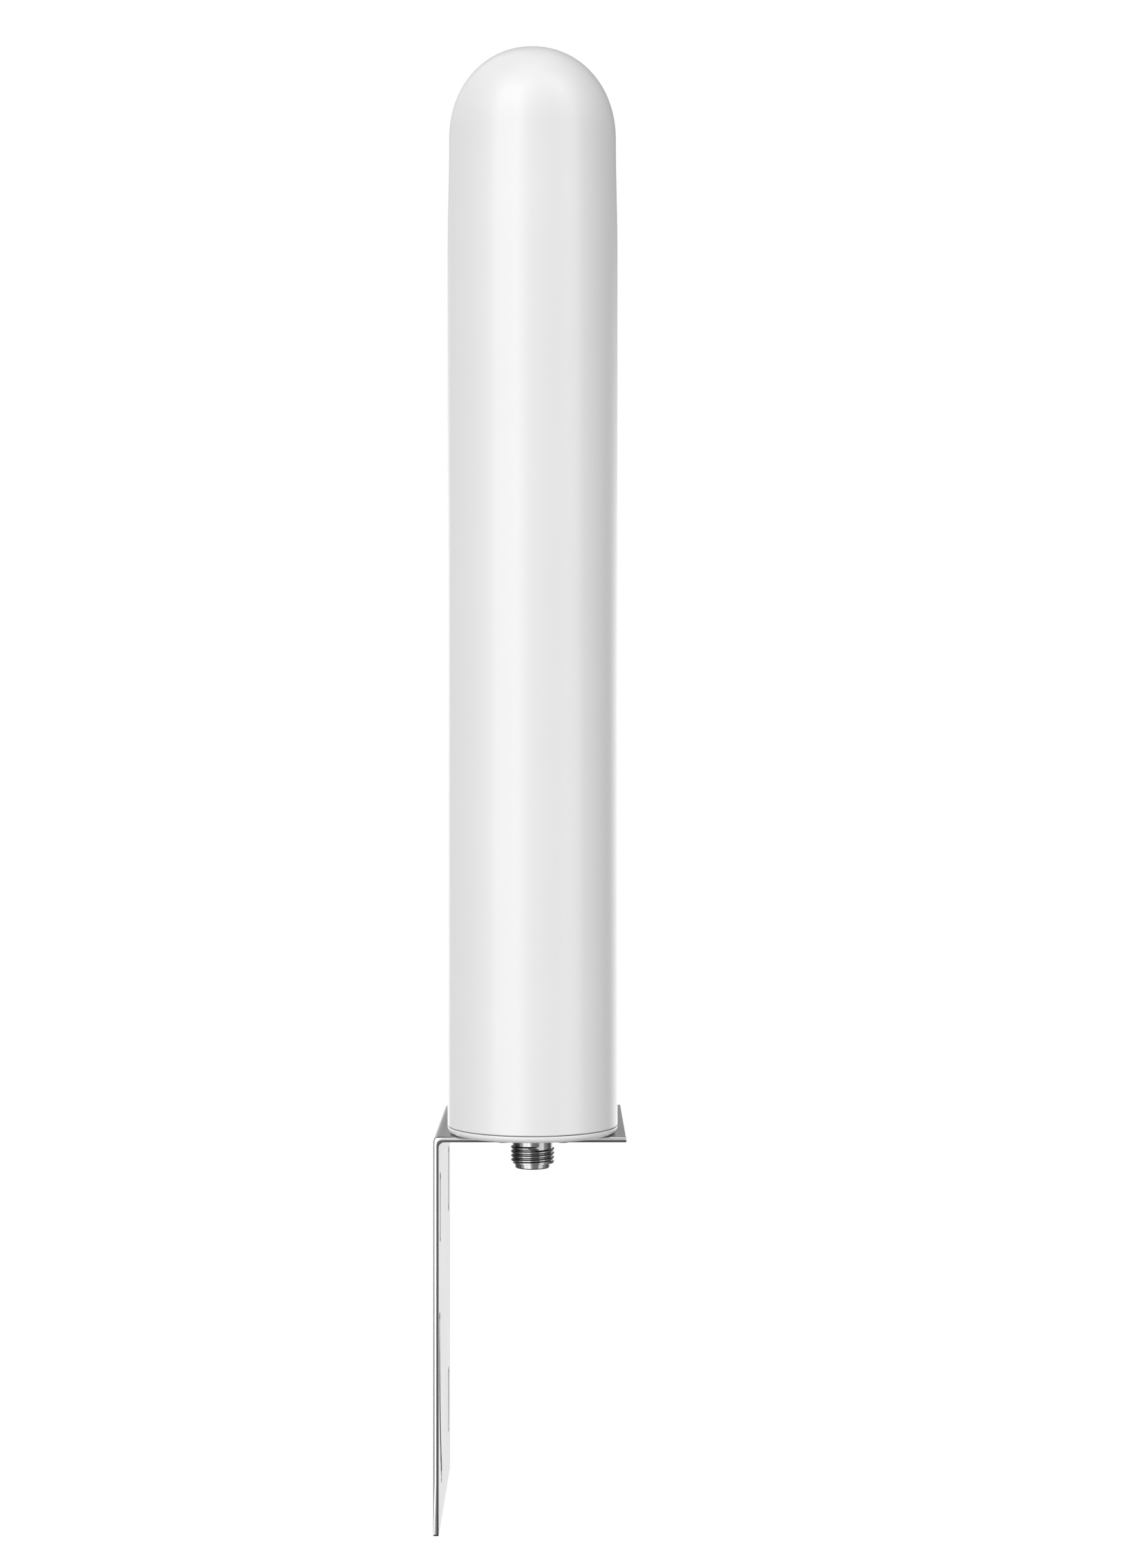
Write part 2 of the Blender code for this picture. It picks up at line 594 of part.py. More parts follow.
def screw(name, radius, length, number):
    """Socket-head button screw: shank down from z = 0, head above."""
    head = radius * HEAD_OVER_SHANK
    height = radius * HEAD_HEIGHT_OVER_SHANK
    tip = radius * 0.2
    profile = [(0, height), (head * 0.6, height), (head * 0.9, height * 0.6), (head, 0)]
    profile += [(radius, 0), (radius, tip - length), (radius - tip, -length), (0, -length)]
    made = turned(f"{name}_{number}", profile, "screw_steel", 16)
    socket = cylinder(f"{name}_socket_{number}", radius * 0.72, height * 0.35, height * 2, sides=6)
    socket.parent = made
    cut(made, socket)
    return made


def make_plate_screws():
    for number, (x, y) in enumerate(plate_screw_places(), 1):
        made = screw("connector_screw", PLATE_SCREW_RADIUS, PLATE_SCREW_LENGTH, number)
        at(made, x, y, PLATE_TOP + GAP)


def make_bracket_screws():
    """Screws from below, each with a lock washer and a flat washer, into brass inserts."""
    bore = BRACKET_SCREW_RADIUS + HOLE_CLEARANCE
    flat_top = -SHEET - GAP
    lock_top = flat_top - FLAT_WASHER - GAP
    seat = lock_top - LOCK_WASHER - GAP
    for number, (x, y) in enumerate(bracket_screw_places(), 1):
        made = screw("bracket_screw", BRACKET_SCREW_RADIUS, BRACKET_SCREW_LENGTH, number)
        at(made, x, y, seat, (180, 0, 0))
        flat = ring(f"flat_washer_{number}", bore, FLAT_WASHER_RADIUS, flat_top - FLAT_WASHER,
                    flat_top, "screw_steel", SMALL_ROUND)
        at(flat, x, y)
        lock = ring(f"lock_washer_{number}", bore, LOCK_WASHER_RADIUS, lock_top - LOCK_WASHER,
                    lock_top, "screw_steel", SMALL_ROUND)
        at(lock, x, y)
        half = 0.25 * MM
        low = (0, -half, seat)
        split = box(f"washer_split_{number}", low, (2 * LOCK_WASHER_RADIUS, half, flat_top))
        split.parent = lock
        split.rotation_euler.x = math.radians(20)
        cut(lock, split)
        insert = ring(f"insert_{number}", bore, INSERT_RADIUS, INSERT_FOOT,
                      INSERT_FOOT + INSERT_LENGTH, "insert_brass", SMALL_ROUND)
        at(insert, x, y)


# ---------------------------------------------------------------- inside the radome
def mirrored(half):
    """Closes the right half of an outline with its mirror image."""
    return half + [(-x, y) for x, y in reversed(half)]


def make_board():
    edge = BOARD_WIDTH / 2
    fork = FORK_OPENING
    corner = 3 * MM
    half = [(fork, FORK_HEIGHT - corner), (fork, BOARD_FOOT), (edge, BOARD_FOOT)]
    half += arc((edge - corner, BOARD_TOP - corner), corner, 0, 90, 4)
    half = [(fork - corner, FORK_HEIGHT)] + half
    board = outline_solid("radiator_board", mirrored(half), BOARD_THICKNESS, "board_laminate")
    at(board, turn=UPRIGHT)
    through = 2 * BOARD_THICKNESS
    feed_hole = cylinder("feed_hole", CORE_RADIUS + GAP, -through, through)
    cut(board, at(feed_hole, 0, 0, FEED_LEVEL, UPRIGHT))
    for number, side in enumerate((-1, 1), 1):
        hole = cylinder(f"leg_hole_{number}", BOARD_SCREW_RADIUS + HOLE_CLEARANCE, -through, through)
        cut(board, at(hole, side * LEG_CENTRE, 0, BOARD_SCREW_LEVEL, UPRIGHT))
        head_side = -POST_DEPTH / 2 - GAP
        made = screw("board_screw", BOARD_SCREW_RADIUS, POST_DEPTH, number)
        at(made, side * LEG_CENTRE, head_side, BOARD_SCREW_LEVEL, UPRIGHT)


def foil_outline(way):
    """Feed line with two folded dipole arms to each side; way is 1 for arms up, -1 for down."""
    line = FOIL_LINE / 2
    outer = ARM_SPREAD / 2
    inner = outer - ARM_WIDTH
    half = []
    for level in (-DIPOLE_SPACING / 2, DIPOLE_SPACING / 2):
        half += [(line, level), (outer, level), (outer, level + ARM_LENGTH)]
        half += [(inner, level + ARM_LENGTH), (inner, level + ARM_WIDTH)]
        half += [(line, level + ARM_WIDTH)]
    return [(x, FEED_LEVEL + way * y) for x, y in mirrored(half)]


def make_foil():
    front = outline_solid("front_copper", foil_outline(1), FOIL, "copper_foil")
    at(front, 0, -FOIL_PLANE, 0, UPRIGHT)
    back = outline_solid("back_copper", foil_outline(-1), FOIL, "copper_foil")
    at(back, 0, FOIL_PLANE, 0, UPRIGHT)
    clearance = cylinder("foil_hole", CORE_RADIUS + 2 * GAP, -4 * GAP, 4 * GAP)
    cut(back, at(clearance, 0, FOIL_PLANE, FEED_LEVEL, UPRIGHT))


def make_feed():
    """Semi-rigid cable from the connector to behind the board, and its core to the front foil."""
    cable_end = FEED_LEVEL - 2 * CABLE_RADIUS
    route = [(0, 0, CABLE_FOOT)]
    steps = 8
    for i in range(steps + 1):
        share = i / steps
        y = CABLE_PLANE * (1 - math.cos(math.pi * share)) / 2
        route.append((0, y, CABLE_BEND_START + (CABLE_BEND_END - CABLE_BEND_START) * share))
    route.append((0, CABLE_PLANE, cable_end))
    wire("feed_cable", route, CABLE_RADIUS, "cable_copper")

    bend = 1.2 * MM
    route = [(0, CABLE_PLANE, cable_end + GAP)]
    for angle in range(0, 91, 30):
        a = math.radians(angle)
        y = CABLE_PLANE - bend + bend * math.cos(a)
        route.append((0, y, FEED_LEVEL - bend + bend * math.sin(a)))
    route.append((0, -BOARD_THICKNESS / 2, FEED_LEVEL))
    wire("feed_pin", route, CORE_RADIUS, "cable_copper")


def make_discs():
    """Discs that keep the board on the radome's axis."""
    half_slot = BOARD_WIDTH / 2 + GAP
    for number in range(1, DISC_COUNT + 1):
        level = FORK_HEIGHT + (BOARD_TOP - FORK_HEIGHT) * number / (DISC_COUNT + 1)
        disc = cylinder(f"centring_disc_{number}", BORE - DISC_CLEARANCE, -DISC_THICKNESS / 2,
                        DISC_THICKNESS / 2, "disc_plastic", 36)
        at(disc, 0, 0, level)
        slot = box(f"disc_slot_{number}", (-half_slot, -BOARD_SLOT / 2, -DISC_THICKNESS),
                   (half_slot, BOARD_SLOT / 2, DISC_THICKNESS))
        notch = cylinder(f"cable_notch_{number}", CABLE_RADIUS + 2 * GAP, -DISC_THICKNESS,
                         DISC_THICKNESS)
        at(notch, 0, CABLE_PLANE)
        holes = []
        for way in (-1, 1):
            hole = cylinder(f"disc_hole_{number}_{way}", DISC_HOLE_RADIUS, -DISC_THICKNESS,
                            DISC_THICKNESS)
            holes.append(at(hole, 0, way * DISC_HOLE_OFFSET))
        for cutter in (slot, notch, *holes):
            cutter.parent = disc
            cut(disc, cutter)


def make_top_buffer():
    """Rubber pad that holds the board's top edge under the crown."""
    foot = BOARD_TOP - BUFFER_LAP
    top = RADOME_TOP - RADOME_WALL - BUFFER_HEADROOM
    edge = 2 * MM
    profile = [(0, top), (BUFFER_RADIUS - edge, top), (BUFFER_RADIUS, top - edge)]
    profile += [(BUFFER_RADIUS, foot), (0, foot)]
    pad = turned("top_buffer", profile, "seal_rubber", MEDIUM_ROUND)
    reach = 2 * BUFFER_RADIUS
    half = BOARD_THICKNESS / 2 + GAP
    low = (-reach, -half, foot - BUFFER_LAP)
    cut(pad, box("buffer_slot", low, (reach, half, BOARD_TOP + GAP)))


make_bracket()
make_radome()
make_base_cap()
make_seals()
make_vent_plug()
make_connector()
make_plate_screws()
make_bracket_screws()
make_board()
make_foil()
make_feed()
make_discs()
make_top_buffer()
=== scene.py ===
"""Omnidirectional antenna on its wall bracket: finished pieces, their materials and the studio.

Everything is in metres in the CAD's frame: the wall is the plane x = 0, +Z is up along the
radome and -Y is the front. The antenna's own heights are counted from the flange's top face.
"""

import math

import bmesh
import bpy
import numpy as np
from mathutils.geometry import delaunay_2d_cdt
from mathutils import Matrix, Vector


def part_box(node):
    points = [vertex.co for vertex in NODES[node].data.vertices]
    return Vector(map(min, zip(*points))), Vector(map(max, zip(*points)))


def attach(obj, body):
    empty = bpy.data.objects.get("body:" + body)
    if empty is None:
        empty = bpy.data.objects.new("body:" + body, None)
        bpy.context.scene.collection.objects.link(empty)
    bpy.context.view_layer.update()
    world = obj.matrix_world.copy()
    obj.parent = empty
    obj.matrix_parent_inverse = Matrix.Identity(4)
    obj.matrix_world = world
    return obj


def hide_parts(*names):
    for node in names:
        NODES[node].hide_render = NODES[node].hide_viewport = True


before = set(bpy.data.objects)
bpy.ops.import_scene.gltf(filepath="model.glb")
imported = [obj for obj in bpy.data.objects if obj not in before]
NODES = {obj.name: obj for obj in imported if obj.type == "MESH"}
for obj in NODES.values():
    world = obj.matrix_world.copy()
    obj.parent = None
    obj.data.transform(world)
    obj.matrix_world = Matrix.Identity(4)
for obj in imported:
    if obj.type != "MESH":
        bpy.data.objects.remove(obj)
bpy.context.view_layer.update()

MM = 0.001
RADOME_LOW, RADOME_HIGH = (np.array(corner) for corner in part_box("radome"))
BRACKET_LOW, BRACKET_HIGH = (np.array(corner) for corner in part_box("bracket"))
CAP_LOW, CAP_HIGH = (np.array(corner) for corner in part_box("base_cap"))
BARREL_LOW, BARREL_HIGH = (np.array(corner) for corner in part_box("connector_body"))
# foot of the antenna's axis, on the flange's top face
FOOT = np.array([*(RADOME_LOW[:2] + RADOME_HIGH[:2]) / 2, BRACKET_HIGH[2]])

SOFTEN = 0.08 * MM  # distance of the row that keeps a flat face flat next to a rounded edge
SHARP = 38  # degrees between faces from which an edge is shaded sharp


# ---- surfaces
def ease(low, high, value):
    """Smooth step: 0 below low, 1 above high, 3t^2 - 2t^3 between."""
    t = np.clip((value - low) / (high - low), 0.0, 1.0)
    return t * t * (3 - 2 * t)


def grid_faces(rows, columns, closed_rows=False, closed_columns=True):
    """Four corners of each cell of a grid whose point (i, j) is number i * columns + j."""
    i = np.arange(rows if closed_rows else rows - 1)[:, None]
    j = np.arange(columns if closed_columns else columns - 1)[None, :]
    down, right = (i + 1) % rows, (j + 1) % columns
    corners = [i * columns + j, down * columns + j, down * columns + right, i * columns + right]
    return np.stack(corners, axis=-1).reshape(-1, 4)


def surface(points, closed_rows=False, closed_columns=True):
    """A grid of points, rows x columns x 3, as a patch: its points and its faces."""
    rows, columns = points.shape[:2]
    faces = grid_faces(rows, columns, closed_rows, closed_columns)
    return points.reshape(-1, 3), faces.tolist()


def joined(patches):
    """Several patches as one, with the faces renumbered."""
    points, faces, start = [], [], 0
    for patch_points, patch_faces in patches:
        points.append(patch_points)
        faces += [[start + corner for corner in face] for face in patch_faces]
        start += len(patch_points)
    return np.concatenate(points), faces


def placed(patch, place, axes=np.eye(3)):
    """A patch turned by a matrix of axes and moved to its place."""
    points, faces = patch
    return points @ axes.T + np.asarray(place), faces


def rounded(corners, closed=False, steps=5):
    """Corners (r, z, rounding) joined by straight runs, each corner an arc of its rounding.

    The arc's centre lies on the corner's bisector, at rounding / sin(half angle) from it. One
    more point follows on either side, so that the straight runs stay flat when shaded smooth.
    """
    count, line = len(corners), []
    for i, (r, z, rounding) in enumerate(corners):
        here = np.array([r, z])
        if rounding == 0 or (not closed and i in (0, count - 1)):
            line.append(here[None])
            continue
        to = [np.array(corners[k % count][:2]) - here for k in (i - 1, i + 1)]
        lengths = [np.linalg.norm(way) for way in to]
        back, on = (way / length for way, length in zip(to, lengths))
        half = math.acos(np.clip(back @ on, -1, 1)) / 2
        reach = rounding / math.tan(half)
        centre = here + (back + on) / np.linalg.norm(back + on) * rounding / math.sin(half)
        first, last = here + back * reach - centre, here + on * reach - centre
        sweep = math.pi - 2 * half
        t = np.linspace(0, 1, steps + 1)[:, None]
        spread = np.sin((1 - t) * sweep) * first + np.sin(t * sweep) * last
        arc = centre + spread / math.sin(sweep)
        if lengths[0] > 2 * reach + 4 * SOFTEN:
            arc = np.concatenate([here + back * (reach + SOFTEN) + np.zeros((1, 2)), arc])
        if lengths[1] > 2 * reach + 4 * SOFTEN:
            arc = np.concatenate([arc, here + on * (reach + SOFTEN) + np.zeros((1, 2))])
        line.append(arc)
    return np.concatenate(line)


def turned(profile, sides=128, closed=False, radius_at=None):
    """Profile of (radius, height) turned about Z: x = r cos a, y = r sin a, z = z.

    radius_at(r, z, a) may change the radius with the angle, as a thread or a hexagon does.
    """
    angle = np.linspace(0, 2 * math.pi, sides, endpoint=False)[None, :]
    r, z = profile[:, :1] + 0 * angle, profile[:, 1:] + 0 * angle
    if radius_at:
        r = radius_at(r, z, angle)
    points = np.stack([r * np.cos(angle), r * np.sin(angle), z], axis=-1)
    return surface(points, closed_rows=closed)


def ring_section(outer, inner, foot, top, edges):
    """Rectangular section of a ring; edges are the roundings from the outer top corner round."""
    corners = ((outer, top), (outer, foot), (inner, foot), (inner, top))
    return rounded([(*corner, edge) for corner, edge in zip(corners, edges)], closed=True)


def sector(profile, start, end, steps):
    """Closed profile turned through part of a circle, with both ends capped.

    start(r, z) and end(r, z) give the angles of the two end faces at each profile point.
    """
    r, z = profile[:, :1], profile[:, 1:]
    share = np.linspace(0, 1, steps + 1)[None, :]
    angle = start(r, z) * (1 - share) + end(r, z) * share
    points = np.stack([r * np.cos(angle), r * np.sin(angle), z + 0 * angle], axis=-1)
    patch_points, faces = surface(points, closed_rows=True, closed_columns=False)
    ring = np.arange(len(profile)) * (steps + 1)
    faces += [ring.tolist(), (ring + steps)[::-1].tolist()]
    return patch_points, faces


def thread_ridge(height, angle, foot, pitch, turns, start):
    """Height of a right-hand thread's ridge, 0 to 1, at a place on a cylinder.

    The ridge's centre line is the helix z = foot + pitch * t at the angle start + 2 pi t, for t
    from 0 to turns. Its section is a trapezium with rounded crest, and it runs out at both ends.
    """
    lap = (angle - start) / (2 * math.pi)
    number = np.round((height - foot) / pitch - lap)
    t = number + lap
    away = np.abs(height - foot - pitch * t) / pitch
    section = 1 - ease(0.11, 0.48, away)
    return section * ease(0.0, 0.12, t) * (1 - ease(turns - 0.12, turns, t))


def hexagon_radius(across_flats, angle):
    """Radius of a hexagon at an angle: half the width over the cosine of the angle to its flat."""
    sixth = math.pi / 3
    return across_flats / 2 / np.cos((angle + sixth / 2) % sixth - sixth / 2)


def tube(route, radius, sides=24):
    """Round tube along a smooth route: circles across the tangent, closed at both ends."""
    tangent = np.gradient(route, axis=0)
    tangent /= np.linalg.norm(tangent, axis=1, keepdims=True)
    side = np.array([1.0, 0.0, 0.0]) + 0 * tangent
    other = np.cross(tangent, side)
    angle = np.linspace(0, 2 * math.pi, sides, endpoint=False)[None, :, None]
    across = side[:, None] * np.cos(angle) + other[:, None] * np.sin(angle)
    points = route[:, None] + radius * across
    ends = [route[:1, None] + 0 * points[:1], route[-1:, None] + 0 * points[:1]]
    return surface(np.concatenate([ends[0], points, ends[1]]))


# ---- sheets with holes
def circle(radius, u=0.0, v=0.0, points=64):
    """Loop round a circle, anticlockwise."""
    angle = np.linspace(0, 2 * math.pi, points, endpoint=False)
    return np.stack([u + radius * np.cos(angle), v + radius * np.sin(angle)], axis=-1)


def offset(loop, distance):
    """Loop moved outwards by a distance, its corners mitred."""
    edge = np.roll(loop, -1, axis=0) - loop
    normal = np.stack([edge[:, 1], -edge[:, 0]], axis=-1)
    normal /= np.linalg.norm(normal, axis=1, keepdims=True)
    before = np.roll(normal, 1, axis=0)
    mitre = (before + normal) / (1 + (before * normal).sum(axis=1, keepdims=True))
    return loop + distance * mitre


def inside(points, loop):
    """Which points lie in a loop: an odd number of its edges passes to their right."""
    x, y = points[:, :1], points[:, 1:]
    ax, ay = loop.T
    bx, by = np.roll(loop, -1, axis=0).T
    crosses = (ay > y) != (by > y)
    with np.errstate(divide="ignore", invalid="ignore"):
        meets = ax + (y - ay) * (bx - ax) / (by - ay)
    return (crosses & (meets > x)).sum(axis=1) % 2 == 1


def flat_face(outline, holes, creases):
    """Triangles that fill an outline apart from its holes; creases are pairs of outline points."""
    loops = [outline, *holes]
    points = np.concatenate(loops)
    edges, start = list(creases), 0
    for loop in loops:
        numbers = start + np.arange(len(loop))
        edges += list(zip(numbers.tolist(), np.roll(numbers, -1).tolist()))
        start += len(loop)
    scaled = points / MM
    _, _, triangles, sources, *_ = delaunay_2d_cdt(scaled.tolist(), edges, [], 0, 1e-6)
    found = points[[source[0] for source in sources]]
    triangles = np.array(triangles)
    middles = found[triangles].mean(axis=1)
    keep = inside(middles, outline)
    for hole in holes:
        keep &= ~inside(middles, hole)
    return found, triangles[keep]


def holed_sheet(outline, holes, thickness, upper_edge, lower_edge, creases=(), hole_edge=None):
    """Sheet of even thickness about w = 0 with rounded edges, as points (u, v, w) and faces.

    Each loop carries a strip whose section is the sheet's edge: an arc of the upper rounding, a
    straight side and an arc of the lower rounding, which may differ from point to point.
    Triangles fill the two faces between the strips. Also returns two marks of the points: how
    much each belongs to an edge, 0 on a face and 1 on a side, and how far down the outline's
    sheared edge it lies, 0 on the upper face and 1 on the lower.
    """
    half = thickness / 2

    def strip(loop, way, upper, lower):
        turn = np.linspace(0, math.pi / 2, 7)[:, None]
        upper, lower = upper + np.zeros(len(loop)), lower + np.zeros(len(loop))
        inset = np.concatenate([[upper + SOFTEN], upper * (1 - np.sin(turn)),
                                lower * (1 - np.cos(turn)), [lower + SOFTEN]])
        level = np.concatenate([[upper * 0 + half], half - upper * (1 - np.cos(turn)),
                                lower * (1 - np.sin(turn)) - half, [lower * 0 - half]])
        rows = [np.column_stack([offset(loop, way * i[:, None]), w]) for i, w in zip(inset, level)]
        a = turn[:, 0]
        belongs = np.concatenate([[0], ease(0, 1, np.sin(a)), ease(0, 1, np.cos(a)), [0]])
        return np.stack(rows), np.repeat(belongs, len(loop))

    hole_edge = hole_edge or (lower_edge, lower_edge)
    strips = [strip(outline, -1, upper_edge, lower_edge)]
    strips += [strip(hole, 1, *hole_edge) for hole in holes]
    patches = [surface(rows) for rows, _ in strips]
    edges = [edge for _, edge in strips]
    down = [0.5 - patches[0][0][:, 2] / thickness]
    for row in (0, -1):
        loops = [rows[row, :, :2] for rows, _ in strips]
        found, triangles = flat_face(loops[0], loops[1:], creases)
        level = half if row == 0 else -half
        patches.append((np.column_stack([found, np.full(len(found), level)]), triangles.tolist()))
        edges.append(np.zeros(len(found)))
    points, faces = joined(patches)
    down.append(np.zeros(len(points) - len(down[0])))
    return points, faces, {"edge": np.concatenate(edges), "down": np.concatenate(down)}


# ---- pieces
def weld(mesh):
    """Merges a mesh's doubles, drops its slivers and turns its faces outwards."""
    work = bmesh.new()
    work.from_mesh(mesh)
    bmesh.ops.remove_doubles(work, verts=work.verts, dist=0.0005 * MM)
    bmesh.ops.dissolve_degenerate(work, edges=work.edges, dist=0.0001 * MM)
    bmesh.ops.recalc_face_normals(work, faces=work.faces)
    work.to_mesh(mesh)
    work.free()


def make_piece(name, patch, record_slot, *nodes, sharp=SHARP, marks=None):
    """A finished piece: welded, facing outwards, on the root body, in place of its CAD nodes.

    Its finish has the name of its record slot. marks are named numbers of its points, which the
    finish reads as attributes.
    """
    points, faces = patch
    mesh = bpy.data.meshes.new(name)
    mesh.from_pydata(points.tolist(), [], faces)
    for mark, numbers in (marks or {}).items():
        mesh.attributes.new(mark, "FLOAT", "POINT").data.foreach_set("value", numbers)
    weld(mesh)
    mesh.shade_smooth()
    mesh.set_sharp_from_angle(angle=math.radians(sharp))
    piece = bpy.data.objects.new(name, mesh)
    bpy.context.scene.collection.objects.link(piece)
    mesh.materials.append(FINISH[record_slot])
    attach(piece, "root")
    if nodes:
        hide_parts(*nodes)
    return piece


def carve(piece, cutters):
    """Cuts patches out of a piece with a Boolean, and keeps the result as its mesh."""
    tools = []
    for patch in cutters:
        mesh = bpy.data.meshes.new("cutter")
        mesh.from_pydata(patch[0].tolist(), [], patch[1])
        weld(mesh)
        tool = bpy.data.objects.new("cutter", mesh)
        bpy.context.scene.collection.objects.link(tool)
        step = piece.modifiers.new("Cut", "BOOLEAN")
        step.operation, step.solver, step.object = "DIFFERENCE", "EXACT", tool
        tools.append(tool)
    view = bpy.context.evaluated_depsgraph_get()
    carved = bpy.data.meshes.new_from_object(piece.evaluated_get(view))
    piece.modifiers.clear()
    piece.data = carved
    weld(carved)
    carved.shade_smooth()
    carved.set_sharp_from_angle(angle=math.radians(SHARP))
    for tool in tools:
        bpy.data.objects.remove(tool)


# ---- shader tools
class Value:
    """A varying number, vector or colour of a material; arithmetic on it adds Math nodes."""

    def __init__(self, socket):
        self.socket = socket

    def maths(self, operation, first, second):
        return Paint(self.socket.id_data).maths(operation, first, second)

    def __add__(self, other):
        return self.maths("ADD", self, other)

    def __sub__(self, other):
        return self.maths("SUBTRACT", self, other)

    def __rsub__(self, other):
        return self.maths("SUBTRACT", other, self)

    def __mul__(self, other):
        return self.maths("MULTIPLY", self, other)

    def __truediv__(self, other):
        return self.maths("DIVIDE", self, other)

    def __rtruediv__(self, other):
        return self.maths("DIVIDE", other, self)

    def __pow__(self, other):
        return self.maths("POWER", self, other)

    __radd__ = __add__
    __rmul__ = __mul__


class Paint:
    """The node tree of one material or of the world."""

    def __init__(self, tree):
        self.tree = tree

    def node(self, kind, settings=None, inputs=None, output=0):
        """Any node: its type, its settings, then the values or links of its sockets."""
        made = self.tree.nodes.new(kind)
        for key, setting in (settings or {}).items():
            setattr(made, key, setting)
        for key, value in (inputs or {}).items():
            if isinstance(value, Value):
                self.tree.links.new(value.socket, made.inputs[key])
            else:
                made.inputs[key].default_value = value
        return Value(made.outputs[output]) if made.outputs else None

    def maths(self, operation, *operands):
        """Math node of one, two or three numbers."""
        return self.node("ShaderNodeMath", {"operation": operation}, dict(enumerate(operands)))

    def mark(self, name):
        """Number that a piece's mesh holds at each point."""
        return self.node("ShaderNodeAttribute", {"attribute_name": name}, output="Fac")

    def place(self):
        """Position on the piece, in metres."""
        return self.node("ShaderNodeTexCoord", output="Object")

    def stretched(self, scale, centre=(0.0, 0.0, 0.0)):
        """Position measured from a centre and multiplied axis by axis."""
        back = [-c * s for c, s in zip(centre, scale)]
        return self.node("ShaderNodeMapping", {}, {"Vector": self.place(), "Scale": scale,
                                                   "Location": back})

    def parts(self, vector):
        """The three numbers of a vector."""
        made = self.node("ShaderNodeSeparateXYZ", {}, {0: vector}).socket.node
        return [Value(output) for output in made.outputs]

    def noise(self, scale, vector=None, detail=3.0, roughness=0.55):
        """Even noise, 0 to 1, of so many features per unit of its vector."""
        return self.node("ShaderNodeTexNoise", {}, {
            "Vector": vector or self.place(), "Scale": scale, "Detail": detail,
            "Roughness": roughness})

    def step(self, low, high, value):
        """Smooth step between two values of a number."""
        return self.node("ShaderNodeMapRange", {"interpolation_type": "SMOOTHSTEP"}, {
            "Value": value, "From Min": low, "From Max": high})

    def between(self, share, first, second):
        """Colour between two colours."""
        first, second = (colour if isinstance(colour, Value) else (*colour, 1.0)
                         for colour in (first, second))
        return self.node("ShaderNodeMix", {"data_type": "RGBA"}, {0: share, 6: first, 7: second},
                         output=2)

    def bump(self, height, depth):
        """Normal of a relief of so many metres."""
        return self.node("ShaderNodeBump", {}, {"Height": height, "Distance": depth,
                                                "Strength": 1.0})


def finish_material(name, paint_it, **constants):
    """A Principled material: constant sockets by name, then those that vary from paint_it."""
    made = bpy.data.materials.new(name)
    made.use_nodes = True
    shader = made.node_tree.nodes["Principled BSDF"]
    for key, value in constants.items():
        shader.inputs[key.replace("_", " ")].default_value = value
    for key, value in paint_it(Paint(made.node_tree)).items():
        made.node_tree.links.new(value.socket, shader.inputs[key])
    return made


# ---- materials
def moulded_plastic(name, light, dark, gloss, peel=0.010):
    """White moulded plastic: an even body with the faintest clouds, and a fine orange peel."""

    def paint_it(paint):
        clouds = paint.noise(18.0, detail=2.0)
        specks = paint.noise(900.0, detail=2.0)
        rub = paint.noise(60.0, paint.stretched((1.0, 1.0, 0.15)), detail=4.0)
        ripple = paint.noise(320.0, detail=2.0)
        skin = ripple * 0.8 + paint.noise(1500.0, detail=1.0) * 0.2
        return {
            "Base Color": paint.between(clouds * 0.8 + specks * 0.2, dark, light),
            "Roughness": gloss - 0.03 + rub * 0.06,
            "Normal": paint.bump(skin, peel * MM),
        }

    return finish_material(name, paint_it, IOR=1.5)


def rolled_stainless():
    """Bare mill-finished sheet: a fine grain and faint rolling lines.

    Its sheared edges are burnished and smoother on the outer half and torn and duller on the other;
    their colour is painted light: a light grey painted highlight on the outer half and a near-black
    painted shade on the other.
    """

    def paint_it(paint):
        grain = paint.noise(1900.0, detail=4.0, roughness=0.7)
        coarse = paint.noise(420.0, detail=3.0)
        lines = paint.noise(900.0, paint.stretched((1.0, 0.05, 1.0)), detail=2.0)
        clouds = paint.noise(25.0, detail=3.0)
        edge = paint.mark("edge")
        # torn lower half of the sheared edge; it also places the edge's painted shade
        torn_and_painted_shade = paint.step(0.50, 0.64, paint.mark("down") + (coarse - 0.5) * 0.06)
        tone = paint.step(0.3, 0.7, grain) * 0.55 + lines * 0.25 + clouds * 0.2
        face = paint.between(tone, (0.37, 0.37, 0.375), grey(0.49))
        # painted highlight and painted shade: the upper half of the sheared edge is coloured light
        # grey and the lower half near black
        side = paint.between(torn_and_painted_shade, grey(0.64), grey(0.14))
        return {
            "Base Color": paint.between(edge, face, side),
            "Roughness": (0.30 + grain * 0.12 + clouds * 0.05) * (1 - edge * (1 - torn_and_painted_shade) * 0.45),
            "Normal": paint.bump((grain * 0.7 + coarse * 0.3) * (1 - edge * 0.8), 0.010 * MM),
        }

    return finish_material("rolled_stainless", paint_it, Metallic=1.0)


def turned_metal(name, light, dark, gloss, centre, lines=0.004, wear=0.05):
    """Turned or plated metal: fine rings left by the tool, tiny pits and a faint bloom."""

    def paint_it(paint):
        place = paint.stretched((1.0, 1.0, 1.0), centre)
        x, y, z = paint.parts(place)
        radius = (x * x + y * y) ** 0.5
        rings = paint.node("ShaderNodeCombineXYZ", {}, {0: radius, 1: 0.0, 2: z})
        tool = paint.noise(4200.0, rings, detail=2.0)
        bloom = paint.noise(160.0, place, detail=4.0)
        pits = paint.step(0.66, 0.78, paint.noise(1400.0, place, detail=2.0))
        return {
            "Base Color": paint.between(bloom * 0.7 + pits * 0.3, light, dark),
            "Roughness": gloss + bloom * wear + pits * 0.06,
            "Normal": paint.bump(tool - pits * 0.4, lines * MM),
        }

    return finish_material(name, paint_it, Metallic=1.0)


